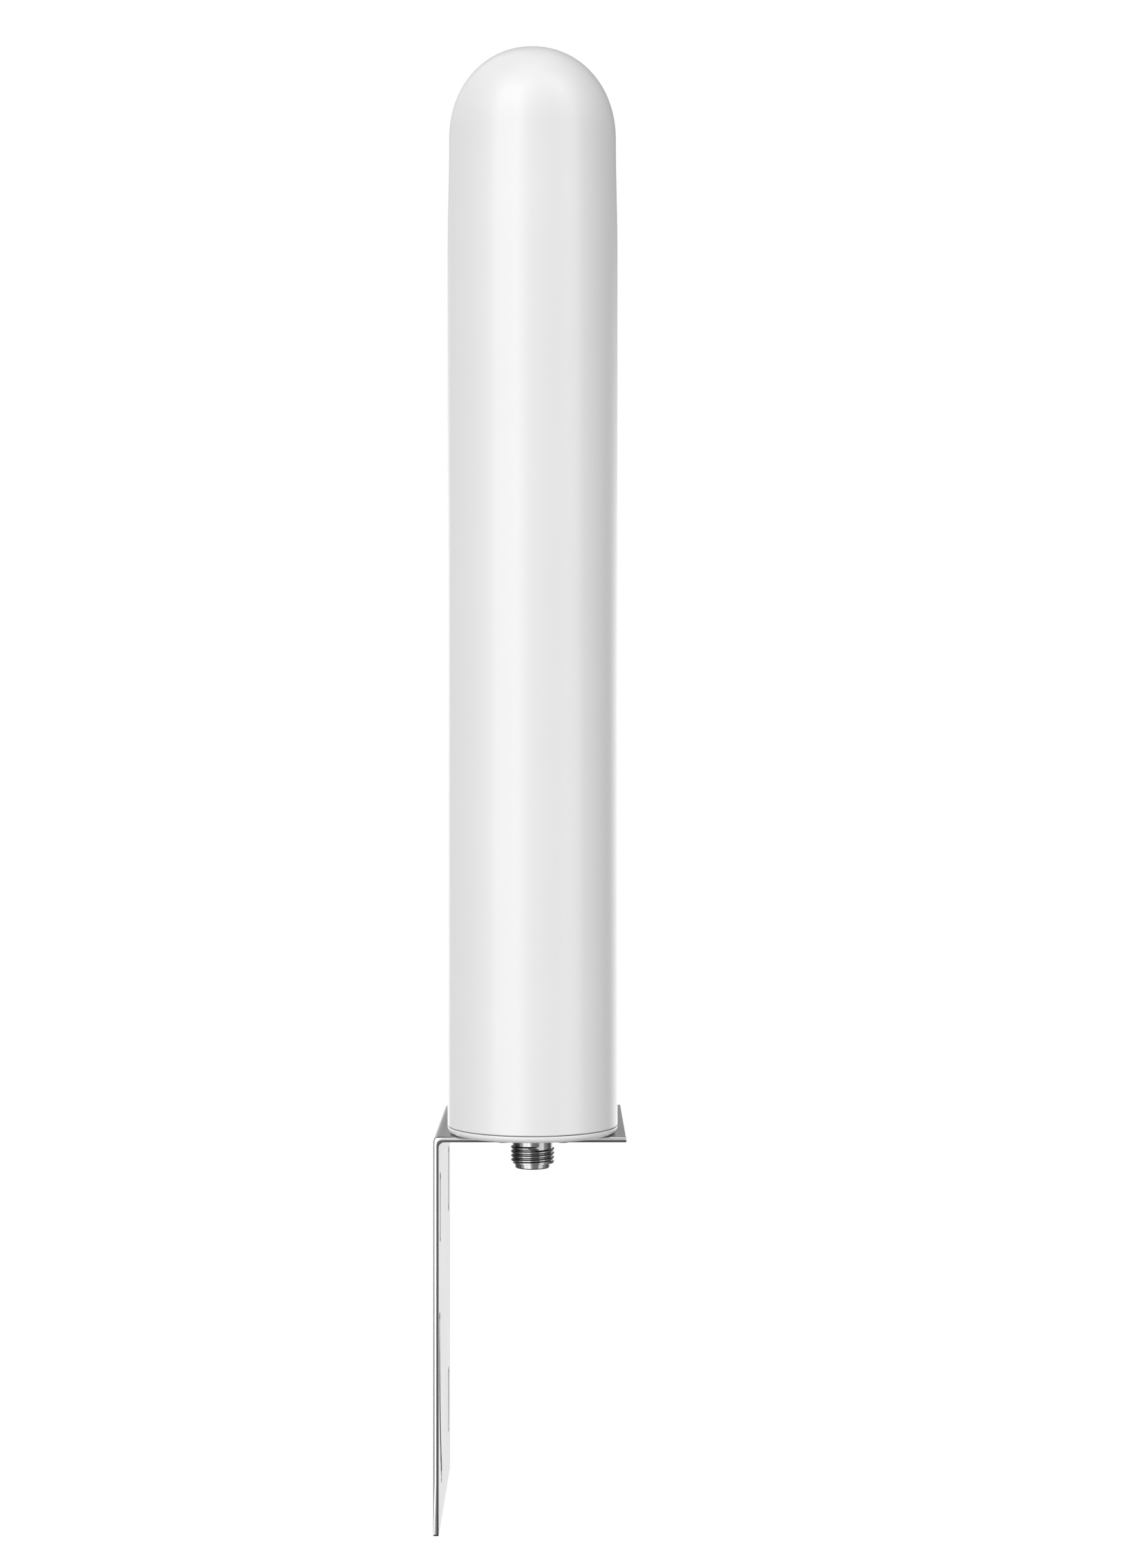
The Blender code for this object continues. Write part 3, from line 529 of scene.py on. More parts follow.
def waxy_plastic(name, light, dark, roughness, scale=240.0):
    """Machined PTFE or nylon: soft cloudy white with fine tool marks."""

    def paint_it(paint):
        clouds = paint.noise(scale, detail=3.0)
        marks = paint.noise(2600.0, detail=2.0)
        return {
            "Base Color": paint.between(clouds, dark, light),
            "Roughness": roughness + marks * 0.12,
            "Normal": paint.bump(marks, 0.012 * MM),
        }

    return finish_material(name, paint_it, Subsurface_Weight=0.15, Subsurface_Scale=1.0 * MM)


def dark_rubber(name, light, dark, roughness):
    """Moulded rubber or dull dark plastic with a dusty bloom."""

    def paint_it(paint):
        bloom = paint.noise(350.0, detail=5.0, roughness=0.65)
        grain = paint.noise(3200.0, detail=2.0)
        return {
            "Base Color": paint.between(paint.step(0.35, 0.75, bloom), dark, light),
            "Roughness": roughness + bloom * 0.15,
            "Normal": paint.bump(grain * 0.6 + bloom * 0.4, 0.02 * MM),
        }

    return finish_material(name, paint_it)


def glass_fibre_laminate():
    """Printed-circuit laminate: a plain weave of glass under a green lacquer."""

    def paint_it(paint):
        x, _, z = paint.parts(paint.place())
        pitch = 2 * math.pi / (0.9 * MM)
        weave = paint.maths("SINE", x * pitch) * paint.maths("SINE", z * pitch) * 0.5 + 0.5
        stain = paint.noise(90.0, detail=4.0)
        return {
            "Base Color": paint.between(weave * 0.6 + stain * 0.4, (0.045, 0.13, 0.05),
                                        (0.10, 0.24, 0.09)),
            "Roughness": 0.28 + stain * 0.12,
            "Normal": paint.bump(weave, 0.012 * MM),
        }

    return finish_material("glass_fibre_laminate", paint_it)


def rolled_copper(name, light, dark):
    """Copper with fine rolling lines and a little tarnish."""

    def paint_it(paint):
        lines = paint.noise(1500.0, paint.stretched((1.0, 1.0, 0.04)), detail=3.0)
        tarnish = paint.step(0.45, 0.8, paint.noise(120.0, detail=5.0))
        return {
            "Base Color": paint.between(tarnish, light, dark),
            "Roughness": 0.24 + lines * 0.1 + tarnish * 0.15,
            "Normal": paint.bump(lines, 0.006 * MM),
        }

    return finish_material(name, paint_it, Metallic=1.0)


def grey(level):
    return (level, level, level)


AXIS_FOOT = tuple(FOOT)
FINISH = {name: make(name, *values) for name, make, *values in (
    ("radome_plastic", moulded_plastic, grey(0.80), grey(0.77), 0.24),
    ("cap_plastic", moulded_plastic, grey(0.83), grey(0.80), 0.26, 0.014),
    ("seal_rubber", dark_rubber, grey(0.05), grey(0.018), 0.55),
    ("connector_plating", turned_metal, grey(0.34), grey(0.27), 0.17, AXIS_FOOT),
    ("ptfe", waxy_plastic, (0.88, 0.88, 0.86), (0.80, 0.80, 0.77), 0.38),
    ("gold_plating", turned_metal, (0.90, 0.66, 0.28), (0.74, 0.52, 0.20), 0.14, AXIS_FOOT, 0.002),
    ("screw_steel", turned_metal, (0.66, 0.65, 0.64), grey(0.50), 0.22, AXIS_FOOT, 0.005, 0.12),
    ("insert_brass", turned_metal, (0.78, 0.59, 0.28), (0.58, 0.42, 0.18), 0.26, AXIS_FOOT, 0.006,
     0.12),
    ("copper_foil", rolled_copper, (0.80, 0.46, 0.30), (0.42, 0.22, 0.13)),
    ("cable_copper", rolled_copper, (0.76, 0.50, 0.36), (0.45, 0.28, 0.19)),
    ("disc_plastic", waxy_plastic, (0.80, 0.80, 0.76), (0.72, 0.72, 0.67), 0.42, 90.0),
    ("vent_plastic", dark_rubber, (0.16, 0.16, 0.165), (0.09, 0.09, 0.095), 0.45),
)}
FINISH["bracket_stainless"] = rolled_stainless()
FINISH["board_laminate"] = glass_fibre_laminate()


# ---- radome and cap
RADOME_RADIUS = (RADOME_HIGH[0] - RADOME_LOW[0]) / 2
RADOME_WALL = 2.2 * MM
BORE = RADOME_RADIUS - RADOME_WALL
RADOME_FOOT = RADOME_LOW[2] - FOOT[2]
RADOME_TOP = RADOME_HIGH[2] - FOOT[2]
DOME_RADIUS = 30.4 * MM
DOME_HEIGHT = 33.0 * MM
TAPER_LENGTH = 42.0 * MM
CAP_FOOT = CAP_LOW[2] - FOOT[2]
CAP_TOP = CAP_HIGH[2] - FOOT[2]
RIM_TOP = RADOME_FOOT - 0.3 * MM
SPIGOT_RADIUS = BORE - 0.3 * MM
SPIGOT_INNER = SPIGOT_RADIUS - 3.0 * MM
FLOOR_TOP = CAP_FOOT + 4.0 * MM
BARREL_HOLE = 8.24 * MM


def dome_line(radius, height, foot, points):
    """Superellipse from the crown down: r = R sin(a)^(2/n), z = foot + H cos(a)^(2/n), n 2.1."""
    a = np.linspace(0, math.pi / 2, points)
    power = 2 / 2.1
    across, up = np.sin(a) ** power, np.maximum(np.cos(a), 0.0) ** power
    up[-1] = 0.0
    return np.column_stack([radius * across, foot + height * up])


def make_ring(name, profile, sides, place, record_slot, *nodes):
    """Piece of a closed profile turned about the vertical through a place."""
    patch = placed(turned(profile, sides, closed=True), place)
    return make_piece(name, patch, record_slot, *nodes)


def make_radome():
    """Tube with a slight taper that eases from the full radius into the dome; one closed wall."""
    dome_foot = RADOME_TOP - DOME_HEIGHT
    fall = np.linspace(0, 1, 15)[1:]
    taper = ease(0, 1, fall)
    level = dome_foot - TAPER_LENGTH * fall
    outside = np.column_stack([DOME_RADIUS + (RADOME_RADIUS - DOME_RADIUS) * taper, level])
    inside_taper = outside - np.array([RADOME_WALL, 0.0])
    runs = np.linspace(level[-1], RADOME_FOOT, 8)[1:-1]
    side = np.column_stack([np.full(6, RADOME_RADIUS), runs])
    foot = rounded([(RADOME_RADIUS, runs[-1], 0), (RADOME_RADIUS, RADOME_FOOT, 0.35 * MM),
                    (BORE, RADOME_FOOT, 0.3 * MM), (BORE, runs[-1], 0)], steps=6)[1:-1]
    profile = np.concatenate([
        dome_line(DOME_RADIUS, DOME_HEIGHT, dome_foot, 44), outside, side, foot,
        (side - np.array([RADOME_WALL, 0.0]))[::-1], inside_taper[::-1],
        dome_line(DOME_RADIUS - RADOME_WALL, DOME_HEIGHT - RADOME_WALL, dome_foot, 30)[::-1]])
    make_piece("radome_shell", placed(turned(profile, 224), FOOT), "radome_plastic", "radome")


def node_middle(name):
    """Middle of a CAD node's box."""
    low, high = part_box(name)
    return (np.array(low) + np.array(high)) / 2


def column(radius, low, high, x, y):
    """Plain round cutter between two heights."""
    profile = np.array([(0, high), (radius, high), (radius, low), (0, low)])
    return placed(turned(profile, 48), (x, y, 0))


def make_cap():
    """Turned rim, floor and spigot with a seal groove, then its holes cut through the floor."""
    groove = SPIGOT_RADIUS - 1.4 * MM
    profile = rounded([
        (SPIGOT_RADIUS, CAP_TOP, 0.6 * MM), (SPIGOT_RADIUS, 10.3 * MM, 0.1 * MM),
        (groove, 10.3 * MM, 0.15 * MM), (groove, 7.7 * MM, 0.15 * MM),
        (SPIGOT_RADIUS, 7.7 * MM, 0.1 * MM), (SPIGOT_RADIUS, RIM_TOP, 0.2 * MM),
        (RADOME_RADIUS, RIM_TOP, 0.25 * MM), (RADOME_RADIUS, CAP_FOOT, 1.9 * MM),
        (BARREL_HOLE, CAP_FOOT, 0.4 * MM), (BARREL_HOLE, FLOOR_TOP, 0.2 * MM),
        (SPIGOT_INNER, FLOOR_TOP, 0.8 * MM), (SPIGOT_INNER, CAP_TOP, 0.5 * MM)],
        closed=True, steps=8)
    cap = make_ring("cap_shell", profile, 224, FOOT, "cap_plastic", "base_cap")
    cutters = []
    for number in (1, 2, 3):
        x, y, _ = node_middle(f"bracket_screw_{number}") - FOOT
        cutters.append(column(2.3 * MM, -1.0 * MM, 5.0 * MM, x, y))
        cutters.append(column(3.1 * MM, 2.0 * MM, 5.0 * MM, x, y))
    x, y, _ = node_middle("vent_plug") - FOOT
    cutters.append(column(3.25 * MM, -1.0 * MM, 6.0 * MM, x, y))
    carve(cap, [placed(cutter, FOOT) for cutter in cutters])


def make_cap_bosses():
    """Three sleeves that hold the brass inserts."""
    patches = []
    for number in (1, 2, 3):
        x, y, _ = node_middle(f"insert_{number}") - FOOT
        low, high = FLOOR_TOP - 0.3 * MM, 8.9 * MM
        ring = ring_section(4.2 * MM, 3.1 * MM, low, high, np.array([0.3, 0.1, 0.1, 0.2]) * MM)
        patches.append(placed(turned(ring, 64, closed=True), FOOT + (x, y, 0)))
    make_piece("cap_bosses", joined(patches), "cap_plastic", "base_cap")


def block_loop(half_u, half_v, u=0.0, v=0.0, corner=0.6 * MM):
    """Rectangle with rounded corners, anticlockwise."""
    corners = [(u + half_u, v - half_v, corner), (u + half_u, v + half_v, corner),
               (u - half_u, v + half_v, corner), (u - half_u, v - half_v, corner)]
    return rounded(corners, closed=True, steps=6)


def make_board_posts():
    """Two forked posts that clamp the board's legs: each is a pair of upright plates."""
    slot = 1.1 * MM
    patches = []
    for number in (1, 2):
        x = node_middle(f"board_screw_{number}")[0] - FOOT[0]
        low, high = FLOOR_TOP - 0.3 * MM, FLOOR_TOP + 11.7 * MM
        middle, half_height = (low + high) / 2, (high - low) / 2
        thick = 4.0 * MM - slot
        screw = node_middle(f"board_screw_{number}")[2] - FOOT[2]
        outline = block_loop(3.5 * MM, half_height, corner=0.5 * MM)
        hole = circle(1.55 * MM, 0.0, screw - middle, 32)
        points, faces, _ = holed_sheet(outline, [hole], thick, 0.3 * MM, 0.3 * MM)
        upright = np.array([[1, 0, 0], [0, 0, -1], [0, 1, 0]])
        for side in (-1, 1):
            place = FOOT + (x, side * (slot + thick / 2), middle)
            patches.append(placed((points, faces), place, upright))
    make_piece("board_posts", joined(patches), "cap_plastic", "base_cap")


def make_seals():
    """Rubber ring in the spigot's groove, and the flat gasket under the socket's plate."""
    a = np.linspace(0, 2 * math.pi, 24, endpoint=False)
    low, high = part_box("radome_seal")
    outer, half = (high.x - low.x) / 2, (high.z - low.z) / 2
    level = (high.z + low.z) / 2 - FOOT[2]
    ring = np.column_stack([outer - half + half * np.cos(a), level - half * np.sin(a)])
    make_ring("sealing_ring", ring, 160, FOOT, "seal_rubber", "radome_seal")
    low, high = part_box("connector_seal")
    outer, foot, top = (high.x - low.x) / 2, low.z - FOOT[2], high.z - FOOT[2]
    flat = ring_section(outer, outer - 2.5 * MM, foot, top, [0.15 * MM] * 4)
    make_ring("socket_gasket", flat, 96, FOOT, "seal_rubber", "connector_seal")


def make_vent_plug():
    """Breather: a round plug with a dished face, a fine hole and a head inside the cap."""
    low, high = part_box("vent_plug")
    x, y, _ = node_middle("vent_plug")
    foot, top = low.z - FOOT[2], high.z - FOOT[2]
    shoulder, dish = top - 1.0 * MM, foot + 0.4 * MM
    profile = rounded([
        (4.0 * MM, top, 0.25 * MM), (4.0 * MM, shoulder, 0.15 * MM), (3.0 * MM, shoulder, 0.1 * MM),
        (3.0 * MM, foot, 0.35 * MM), (2.2 * MM, foot, 0.1 * MM), (1.9 * MM, dish, 0.1 * MM),
        (0.9 * MM, dish, 0.1 * MM), (0.9 * MM, top, 0.15 * MM)], closed=True)
    make_ring("breather_plug", profile, 72, (x, y, FOOT[2]), "vent_plastic", "vent_plug")


# ---- bracket
SHEET = 2.0 * MM
BEND_RADIUS = 2.0 * MM  # inside of the bend
BEND_REACH = BEND_RADIUS + SHEET  # outer face to where the bend ends
LEG_FLAT = BRACKET_HIGH[2] - BRACKET_LOW[2] - BEND_REACH
BEND_LENGTH = (BEND_RADIUS + SHEET / 2) * math.pi / 2
FLANGE_FLAT = BRACKET_HIGH[0] - BEND_REACH
HALF_DEPTH = (BRACKET_HIGH[1] - BRACKET_LOW[1]) / 2
CORNER_POWER = 5.0  # of the outside corner: 2 is round, more is squarer


def folded(points):
    """Flat blank (u, v, w) to the bent sheet.

    u runs up the leg, round the bend and out along the flange, v is y and w points to the wall
    and up. At the angle a of the bend the inner face is the circle (4 - 2 cos a, 2 sin a) and the
    outer face the superellipse (4 - 4 cos a^(2/n), 4 sin a^(2/n)); w blends between the two.
    """
    u, v, w = points.T
    bend = np.clip((u - LEG_FLAT) / BEND_LENGTH, 0, 1) * math.pi / 2
    along, up = np.cos(bend), np.sin(bend)
    along[bend > math.pi / 2 - 1e-6] = 0.0
    power = 2 / CORNER_POWER
    share = w / SHEET + 0.5
    x = BEND_RADIUS * along * (1 - share) + BEND_REACH * along**power * share
    z = BEND_RADIUS * up * (1 - share) + BEND_REACH * up**power * share
    past = np.maximum(u - LEG_FLAT - BEND_LENGTH, 0)
    before = np.minimum(u - LEG_FLAT, 0)
    flat_x = BRACKET_LOW[0] + BEND_REACH - x + past
    flat_z = BRACKET_LOW[2] + LEG_FLAT + z + before
    return np.column_stack([flat_x, v, flat_z])


def slot_loop(length, width, u, v):
    """Straight slot with round ends, anticlockwise, its length along u."""
    half, r = (length - width) / 2, width / 2
    a = np.linspace(-math.pi / 2, math.pi / 2, 25)
    end = np.column_stack([half + r * np.cos(a), r * np.sin(a)])
    return np.concatenate([end, -end]) + np.array([u, v])


def arc_slot_loop(radius, width, u, v, start, end):
    """Slot bent round a centre (u, v) between two angles, with round ends, anticlockwise."""
    r = width / 2
    a = np.linspace(start, end, 40)
    cap = np.linspace(0, math.pi, 25)[1:-1]

    def polar(distance, angle):
        return np.column_stack([distance * np.cos(angle), distance * np.sin(angle)])

    tip = polar(radius, np.array([end])) + polar(r, end + cap)
    tail = polar(radius, np.array([start])) + polar(r, start + math.pi + cap)
    loop = np.concatenate([polar(radius + r, a), tip, polar(radius - r, a[::-1]), tail])
    return loop + np.array([u, v])


def drop(distance):
    """Place along the blank of a point so far below the flange's top face."""
    return BRACKET_HIGH[2] - distance - BRACKET_LOW[2]


def make_bracket():
    """Blank with rounded corners, four slots and four round holes, folded over its bend."""
    length = LEG_FLAT + BEND_LENGTH + FLANGE_FLAT
    corner = 0.7 * MM
    bend = LEG_FLAT + BEND_LENGTH * np.linspace(0, 1, 25)
    stops = np.concatenate([[20 * MM, 60 * MM, 100 * MM, LEG_FLAT - SOFTEN], bend,
                            [bend[-1] + SOFTEN, bend[-1] + 30 * MM]])
    across = np.linspace(-0.8, 0.8, 7) * HALF_DEPTH
    box = rounded([(0, -HALF_DEPTH, corner), (length, -HALF_DEPTH, corner),
                   (length, HALF_DEPTH, corner), (0, HALF_DEPTH, corner)], closed=True, steps=7)
    lower_left, lower_right, upper_right, upper_left = np.split(box, 4)
    outline = np.concatenate([
        lower_left, np.column_stack([stops, np.full(len(stops), -HALF_DEPTH)]),
        lower_right, np.column_stack([np.full(len(across), length), across]),
        upper_right, np.column_stack([stops[::-1], np.full(len(stops), HALF_DEPTH)]),
        upper_left, np.column_stack([np.zeros(len(across)), across[::-1]])])
    first = len(lower_left)
    last = len(outline) - len(across) - len(upper_left) - 1
    creases = [(first + i, last - i) for i in range(3, len(stops) - 1)]
    # the upper rounding is smaller at both ends of the blank
    leg_end = 1 - ease(0.2 * MM, 2.5 * MM, outline[:, 0])
    flange_end = 1 - ease(0.2 * MM, 2.5 * MM, length - outline[:, 0])
    upper_edge = (1.05 - 0.80 * leg_end - 0.60 * flange_end) * MM

    edge_line = HALF_DEPTH - 12.2 * MM
    slots = [slot_loop(25.8 * MM, 6.5 * MM, drop(fall), line) for fall, line in (
        (27.4 * MM, -edge_line), (27.4 * MM, edge_line), (113.8 * MM, edge_line))]
    radius, middle = 110.0 * MM, 73.5 * MM
    upper = math.asin((middle - 68.0 * MM) / radius)
    lower = math.asin((middle - 127.0 * MM) / radius)
    slots.append(arc_slot_loop(radius, 7.0 * MM, drop(middle), radius + 6.6 * MM - HALF_DEPTH,
                               -math.pi / 2 + lower, -math.pi / 2 + upper))
    on_flange = LEG_FLAT + BEND_LENGTH - BEND_REACH
    holes = [circle(8.54 * MM, on_flange + FOOT[0], FOOT[1], 96)]
    for number in (1, 2, 3):
        x, y, _ = node_middle(f"bracket_screw_{number}")
        holes.append(circle(2.3 * MM, on_flange + x, y, 48))
    points, faces, marks = holed_sheet(outline, slots + holes, SHEET, upper_edge, 0.2 * MM,
                                       creases, hole_edge=(0.08 * MM, 0.08 * MM))
    make_piece("bracket_sheet", (folded(points), faces), "bracket_stainless", "bracket",
               marks=marks)


# ---- socket
THREAD_RADIUS = 7.94 * MM
THREAD_DEPTH = 0.62 * MM
THREAD_PITCH = 1.5 * MM
THREAD_FOOT = -10.85 * MM  # middle of the ridge where it starts
THREAD_TURNS = 3.94
THREAD_START = math.radians(-45)
SOCKET_RADIUS = 4.2 * MM
BARREL_END = BARREL_LOW[2] - FOOT[2]
BARREL_TOP = BARREL_HIGH[2] - FOOT[2]
PLATE_FOOT = 5.7 * MM
PLATE_TOP = 8.2 * MM


def make_barrel():
    """Threaded barrel: collar, thread, relief and end ring outside, the socket's bore inside."""
    root = THREAD_RADIUS - THREAD_DEPTH
    collar, ring, stub = 7.3 * MM, 6.45 * MM, 5.5 * MM
    bore_end = 10.5 * MM
    neck = -11.0 * MM
    upper = rounded([(2.1 * MM, BARREL_TOP, 0), (stub, BARREL_TOP, 0.3 * MM),
                     (stub, PLATE_TOP, 0.2 * MM), (collar, PLATE_TOP, 0.15 * MM),
                     (collar, -4.1 * MM, 0.06 * MM), (root, -4.2 * MM, 0)])
    thread = np.column_stack([np.full(118, root), np.linspace(-4.25 * MM, -10.95 * MM, 118)])
    lower = rounded([(root, neck, 0), (ring, neck - 0.05 * MM, 0.12 * MM),
                     (ring, BARREL_END, 0.35 * MM), (SOCKET_RADIUS, BARREL_END, 0.4 * MM),
                     (SOCKET_RADIUS, bore_end, 0.2 * MM), (2.1 * MM, bore_end, 0)])
    profile = np.concatenate([upper, thread, lower])

    def radius_at(r, z, angle):
        ridge = thread_ridge(z, angle, THREAD_FOOT, THREAD_PITCH, THREAD_TURNS, THREAD_START)
        outside = (r > ring * 1.05) & (z < -4.2 * MM)
        return np.where(outside, r + THREAD_DEPTH * ridge, r)

    patch = turned(profile, 160, closed=True, radius_at=radius_at)
    make_piece("socket_barrel", placed(patch, FOOT), "connector_plating", "connector_body",
               sharp=50)


def make_plate():
    """Square plate inside the cap, with the barrel's seat and four screw holes."""
    half = (BARREL_HIGH[0] - BARREL_LOW[0]) / 2
    holes = [circle(7.3 * MM, points=96)]
    for number in (1, 2, 3, 4):
        x, y, _ = node_middle(f"connector_screw_{number}") - FOOT
        holes.append(circle(1.8 * MM, x, y, 40))
    points, faces, _ = holed_sheet(block_loop(half, half, corner=1.6 * MM), holes,
                                   PLATE_TOP - PLATE_FOOT, 0.25 * MM, 0.25 * MM)
    make_piece("socket_plate", placed((points, faces), FOOT + (0, 0, (PLATE_FOOT + PLATE_TOP) / 2)),
               "connector_plating", "connector_body")


def make_insulator():
    """Turned PTFE sleeve between barrel and contact, its face slightly dished."""
    low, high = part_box("connector_insulator")
    outer, foot, top = (high.x - low.x) / 2, low.z - FOOT[2], high.z - FOOT[2]
    inner = 1.82 * MM
    dish = foot + 0.25 * MM
    profile = rounded([
        (outer, top, 0.2 * MM), (outer, foot, 0.3 * MM), (inner + 0.9 * MM, foot, 0.1 * MM),
        (inner + 0.7 * MM, dish, 0.1 * MM), (inner, dish, 0.1 * MM), (inner, top, 0.1 * MM)],
        closed=True)
    make_ring("socket_insulator", profile, 96, FOOT, "ptfe", "connector_insulator")


def make_contact():
    """Gold-plated contact: a solid rear and four spring fingers that close slightly at the tip.

    A finger's sides stay parallel to the slit: at radius r they lie asin(slit / 2r) from its edge.
    """
    low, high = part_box("connector_contact")
    radius, tip, top = (high.x - low.x) / 2, low.z - FOOT[2], high.z - FOOT[2]
    bore, slit = 0.82 * MM, 0.4 * MM
    root = tip + 3.3 * MM
    rear = rounded([(0, top, 0), (radius, top, 0.2 * MM), (radius, root, 0.04 * MM),
                    (bore, root, 0.04 * MM), (bore, root + 0.8 * MM, 0.1 * MM),
                    (0, root + 1.1 * MM, 0)])
    patches = [turned(rear, 48)]
    finger = rounded([(radius, root + 0.02 * MM, 0), (radius, tip, 0.28 * MM),
                      (bore, tip, 0.25 * MM), (bore, root + 0.02 * MM, 0)], closed=True)
    finger[:, 0] -= 0.05 * MM * ease(root, tip, finger[:, 1])
    for number in range(4):
        first = number * math.pi / 2
        patches.append(sector(finger, lambda r, z, a=first: a + np.arcsin(slit / 2 / r),
                              lambda r, z, a=first: a + math.pi / 2 - np.arcsin(slit / 2 / r), 12))
    make_piece("socket_contact", placed(joined(patches), FOOT), "gold_plating", "connector_contact")


# ---- fasteners
def screw_patch(radius, length, pitch, sides=60):
    """Button-head screw, head up, seat at z = 0: domed head, hexagon socket, threaded shank."""
    head, height = 1.9 * radius, 1.1 * radius
    key = 1.25 * radius
    a = np.linspace(0, math.pi / 2, 9)
    dome = np.column_stack([head * (0.58 + 0.42 * np.sin(a)), height * np.cos(a)])
    dome[:, 1] = np.maximum(dome[:, 1], 0.12 * radius)
    socket = [(0, 0.32 * height), (key / 2 * 0.8, 0.35 * height), (key / 2, 0.40 * height),
              (key / 2, 0.93 * height), (key / 2 * 1.07, height)]
    under = [(head, 0.0), (radius * 1.02, 0.0)]
    depth = 0.16 * radius
    steps = int(length / pitch * 10)
    shank = np.column_stack([np.full(steps, radius - depth),
                             np.linspace(-0.2 * pitch, -length + 0.5 * pitch, steps)])
    tip = [(radius - depth, -length + 0.45 * pitch), (radius * 0.68, -length), (0, -length)]
    profile = np.concatenate([socket, dome, under, shank, tip])

    def radius_at(r, z, angle):
        ridge = thread_ridge(z, angle, -length + pitch, pitch, length / pitch - 2.0, 0.0)
        threaded = (z < -0.1 * pitch) & (r > 0.8 * radius)
        in_socket = (r <= key / 2 * 1.08) & (z > 0)
        hexed = hexagon_radius(key, angle) * r / (key / 2)
        return np.where(in_socket, hexed, np.where(threaded, r + depth * ridge, r))

    return turned(profile, sides, radius_at=radius_at)


# axes of a screw whose head points down, and of one whose head points to the front
HEAD_DOWN = np.diag([1.0, -1.0, -1.0])
HEAD_FRONT = np.array([[1.0, 0, 0], [0, 0, -1.0], [0, 1.0, 0]])


def make_screws():
    """Screws from below through the flange, those of the socket's plate and of the board."""
    for number in (1, 2, 3):
        x, y, _ = node_middle(f"bracket_screw_{number}")
        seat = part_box(f"lock_washer_{number}")[0].z - 0.3 * MM
        patch = placed(screw_patch(2.0 * MM, 12.0 * MM, 0.7 * MM), (x, y, seat), HEAD_DOWN)
        make_piece(f"flange_screw_{number}", patch, "screw_steel", f"bracket_screw_{number}")
    for number in (1, 2, 3, 4):
        x, y, _ = node_middle(f"connector_screw_{number}")
        patch = placed(screw_patch(1.5 * MM, 6.0 * MM, 0.5 * MM, 48),
                       (x, y, FOOT[2] + PLATE_TOP + 0.3 * MM))
        make_piece(f"plate_screw_{number}", patch, "screw_steel", f"connector_screw_{number}")
    for number in (1, 2):
        x, _, z = node_middle(f"board_screw_{number}")
        seat = FOOT[1] - 4.3 * MM
        patch = placed(screw_patch(1.25 * MM, 8.0 * MM, 0.45 * MM, 40), (x, seat, z), HEAD_FRONT)
        make_piece(f"post_screw_{number}", patch, "screw_steel", f"board_screw_{number}")


def make_washers():
    """Flat washers, and lock washers cut through on a slant."""
    for number in (1, 2, 3):
        x, y, _ = node_middle(f"bracket_screw_{number}")
        low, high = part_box(f"flat_washer_{number}")
        flat = ring_section(4.0 * MM, 2.3 * MM, low.z, high.z,
                            np.array([0.12, 0.12, 0.08, 0.08]) * MM)
        make_ring(f"plain_washer_{number}", flat, 72, (x, y, 0), "screw_steel",
                  f"flat_washer_{number}")
        low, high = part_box(f"lock_washer_{number}")
        middle = (low.z + high.z) / 2
        section = ring_section(3.5 * MM, 2.3 * MM, low.z, high.z,
                               np.array([0.18, 0.18, 0.15, 0.15]) * MM)

        def slant(r, z, middle=middle):
            return (0.25 * MM + 0.36 * (z - middle)) / r

        patch = sector(section, slant, lambda r, z: 2 * math.pi - 0.5 * MM / r + slant(r, z), 72)
        make_piece(f"spring_washer_{number}", placed(patch, (x, y, 0)), "screw_steel",
                   f"lock_washer_{number}")


def make_inserts():
    """Brass inserts: two knurled bands with a groove between, and a threaded bore."""
    for number in (1, 2, 3):
        x, y, _ = node_middle(f"insert_{number}")
        low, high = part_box(f"insert_{number}")
        outer, height = 2.8 * MM, high.z - low.z
        down = np.linspace(0, 1, 34)
        in_groove = ease(0.40, 0.44, down) * (1 - ease(0.56, 0.60, down))
        ends = ease(0.0, 0.06, down) * (1 - ease(0.94, 1.0, down))
        outside = np.column_stack([outer - 0.45 * MM * in_groove - 0.25 * MM * (1 - ends),
                                   height * (1 - down)])
        up = np.linspace(0, 1, 60)
        bore = np.column_stack([np.full(60, 2.3 * MM), height * up])

        def radius_at(r, z, angle, outer=outer):
            across, along = 18 * angle, z / (0.35 * MM)
            knurl = np.abs(np.sin(across + along) * np.sin(across - along))
            cut = 0.22 * MM * (1 - knurl) * (r > outer - 0.1 * MM)
            ridge = thread_ridge(z, angle, 0.4 * MM, 0.7 * MM, 7.5, 0.0)
            return np.where(r > 2.32 * MM, r - cut, r - 0.25 * MM * ridge * (r > 2.29 * MM))

        patch = turned(np.concatenate([outside, bore]), 144, closed=True, radius_at=radius_at)
        make_piece(f"brass_insert_{number}", placed(patch, (x, y, low.z)), "insert_brass",
                   f"insert_{number}")


def make_feed():
    """Semi-rigid cable from the socket to behind the board; its middle eases over in a cosine."""
    low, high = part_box("feed_cable")
    radius = 1.8 * MM
    foot, top = low.z, high.z
    share = np.concatenate([np.zeros(2), np.linspace(0, 1, 33), np.ones(2)])
    start, end = FOOT[2] + 15 * MM, FOOT[2] + 27 * MM
    z = start + (end - start) * share
    z[:2] = (foot, foot + 1 * MM)
    z[-2:] = (end + 60 * MM, top)
    aside = high.y - radius - FOOT[1]
    y = FOOT[1] + aside * (1 - np.cos(math.pi * share)) / 2
    route = np.column_stack([np.full(len(z), FOOT[0]), y, z])
    make_piece("feed_cable_run", tube(route, radius), "cable_copper", "feed_cable")


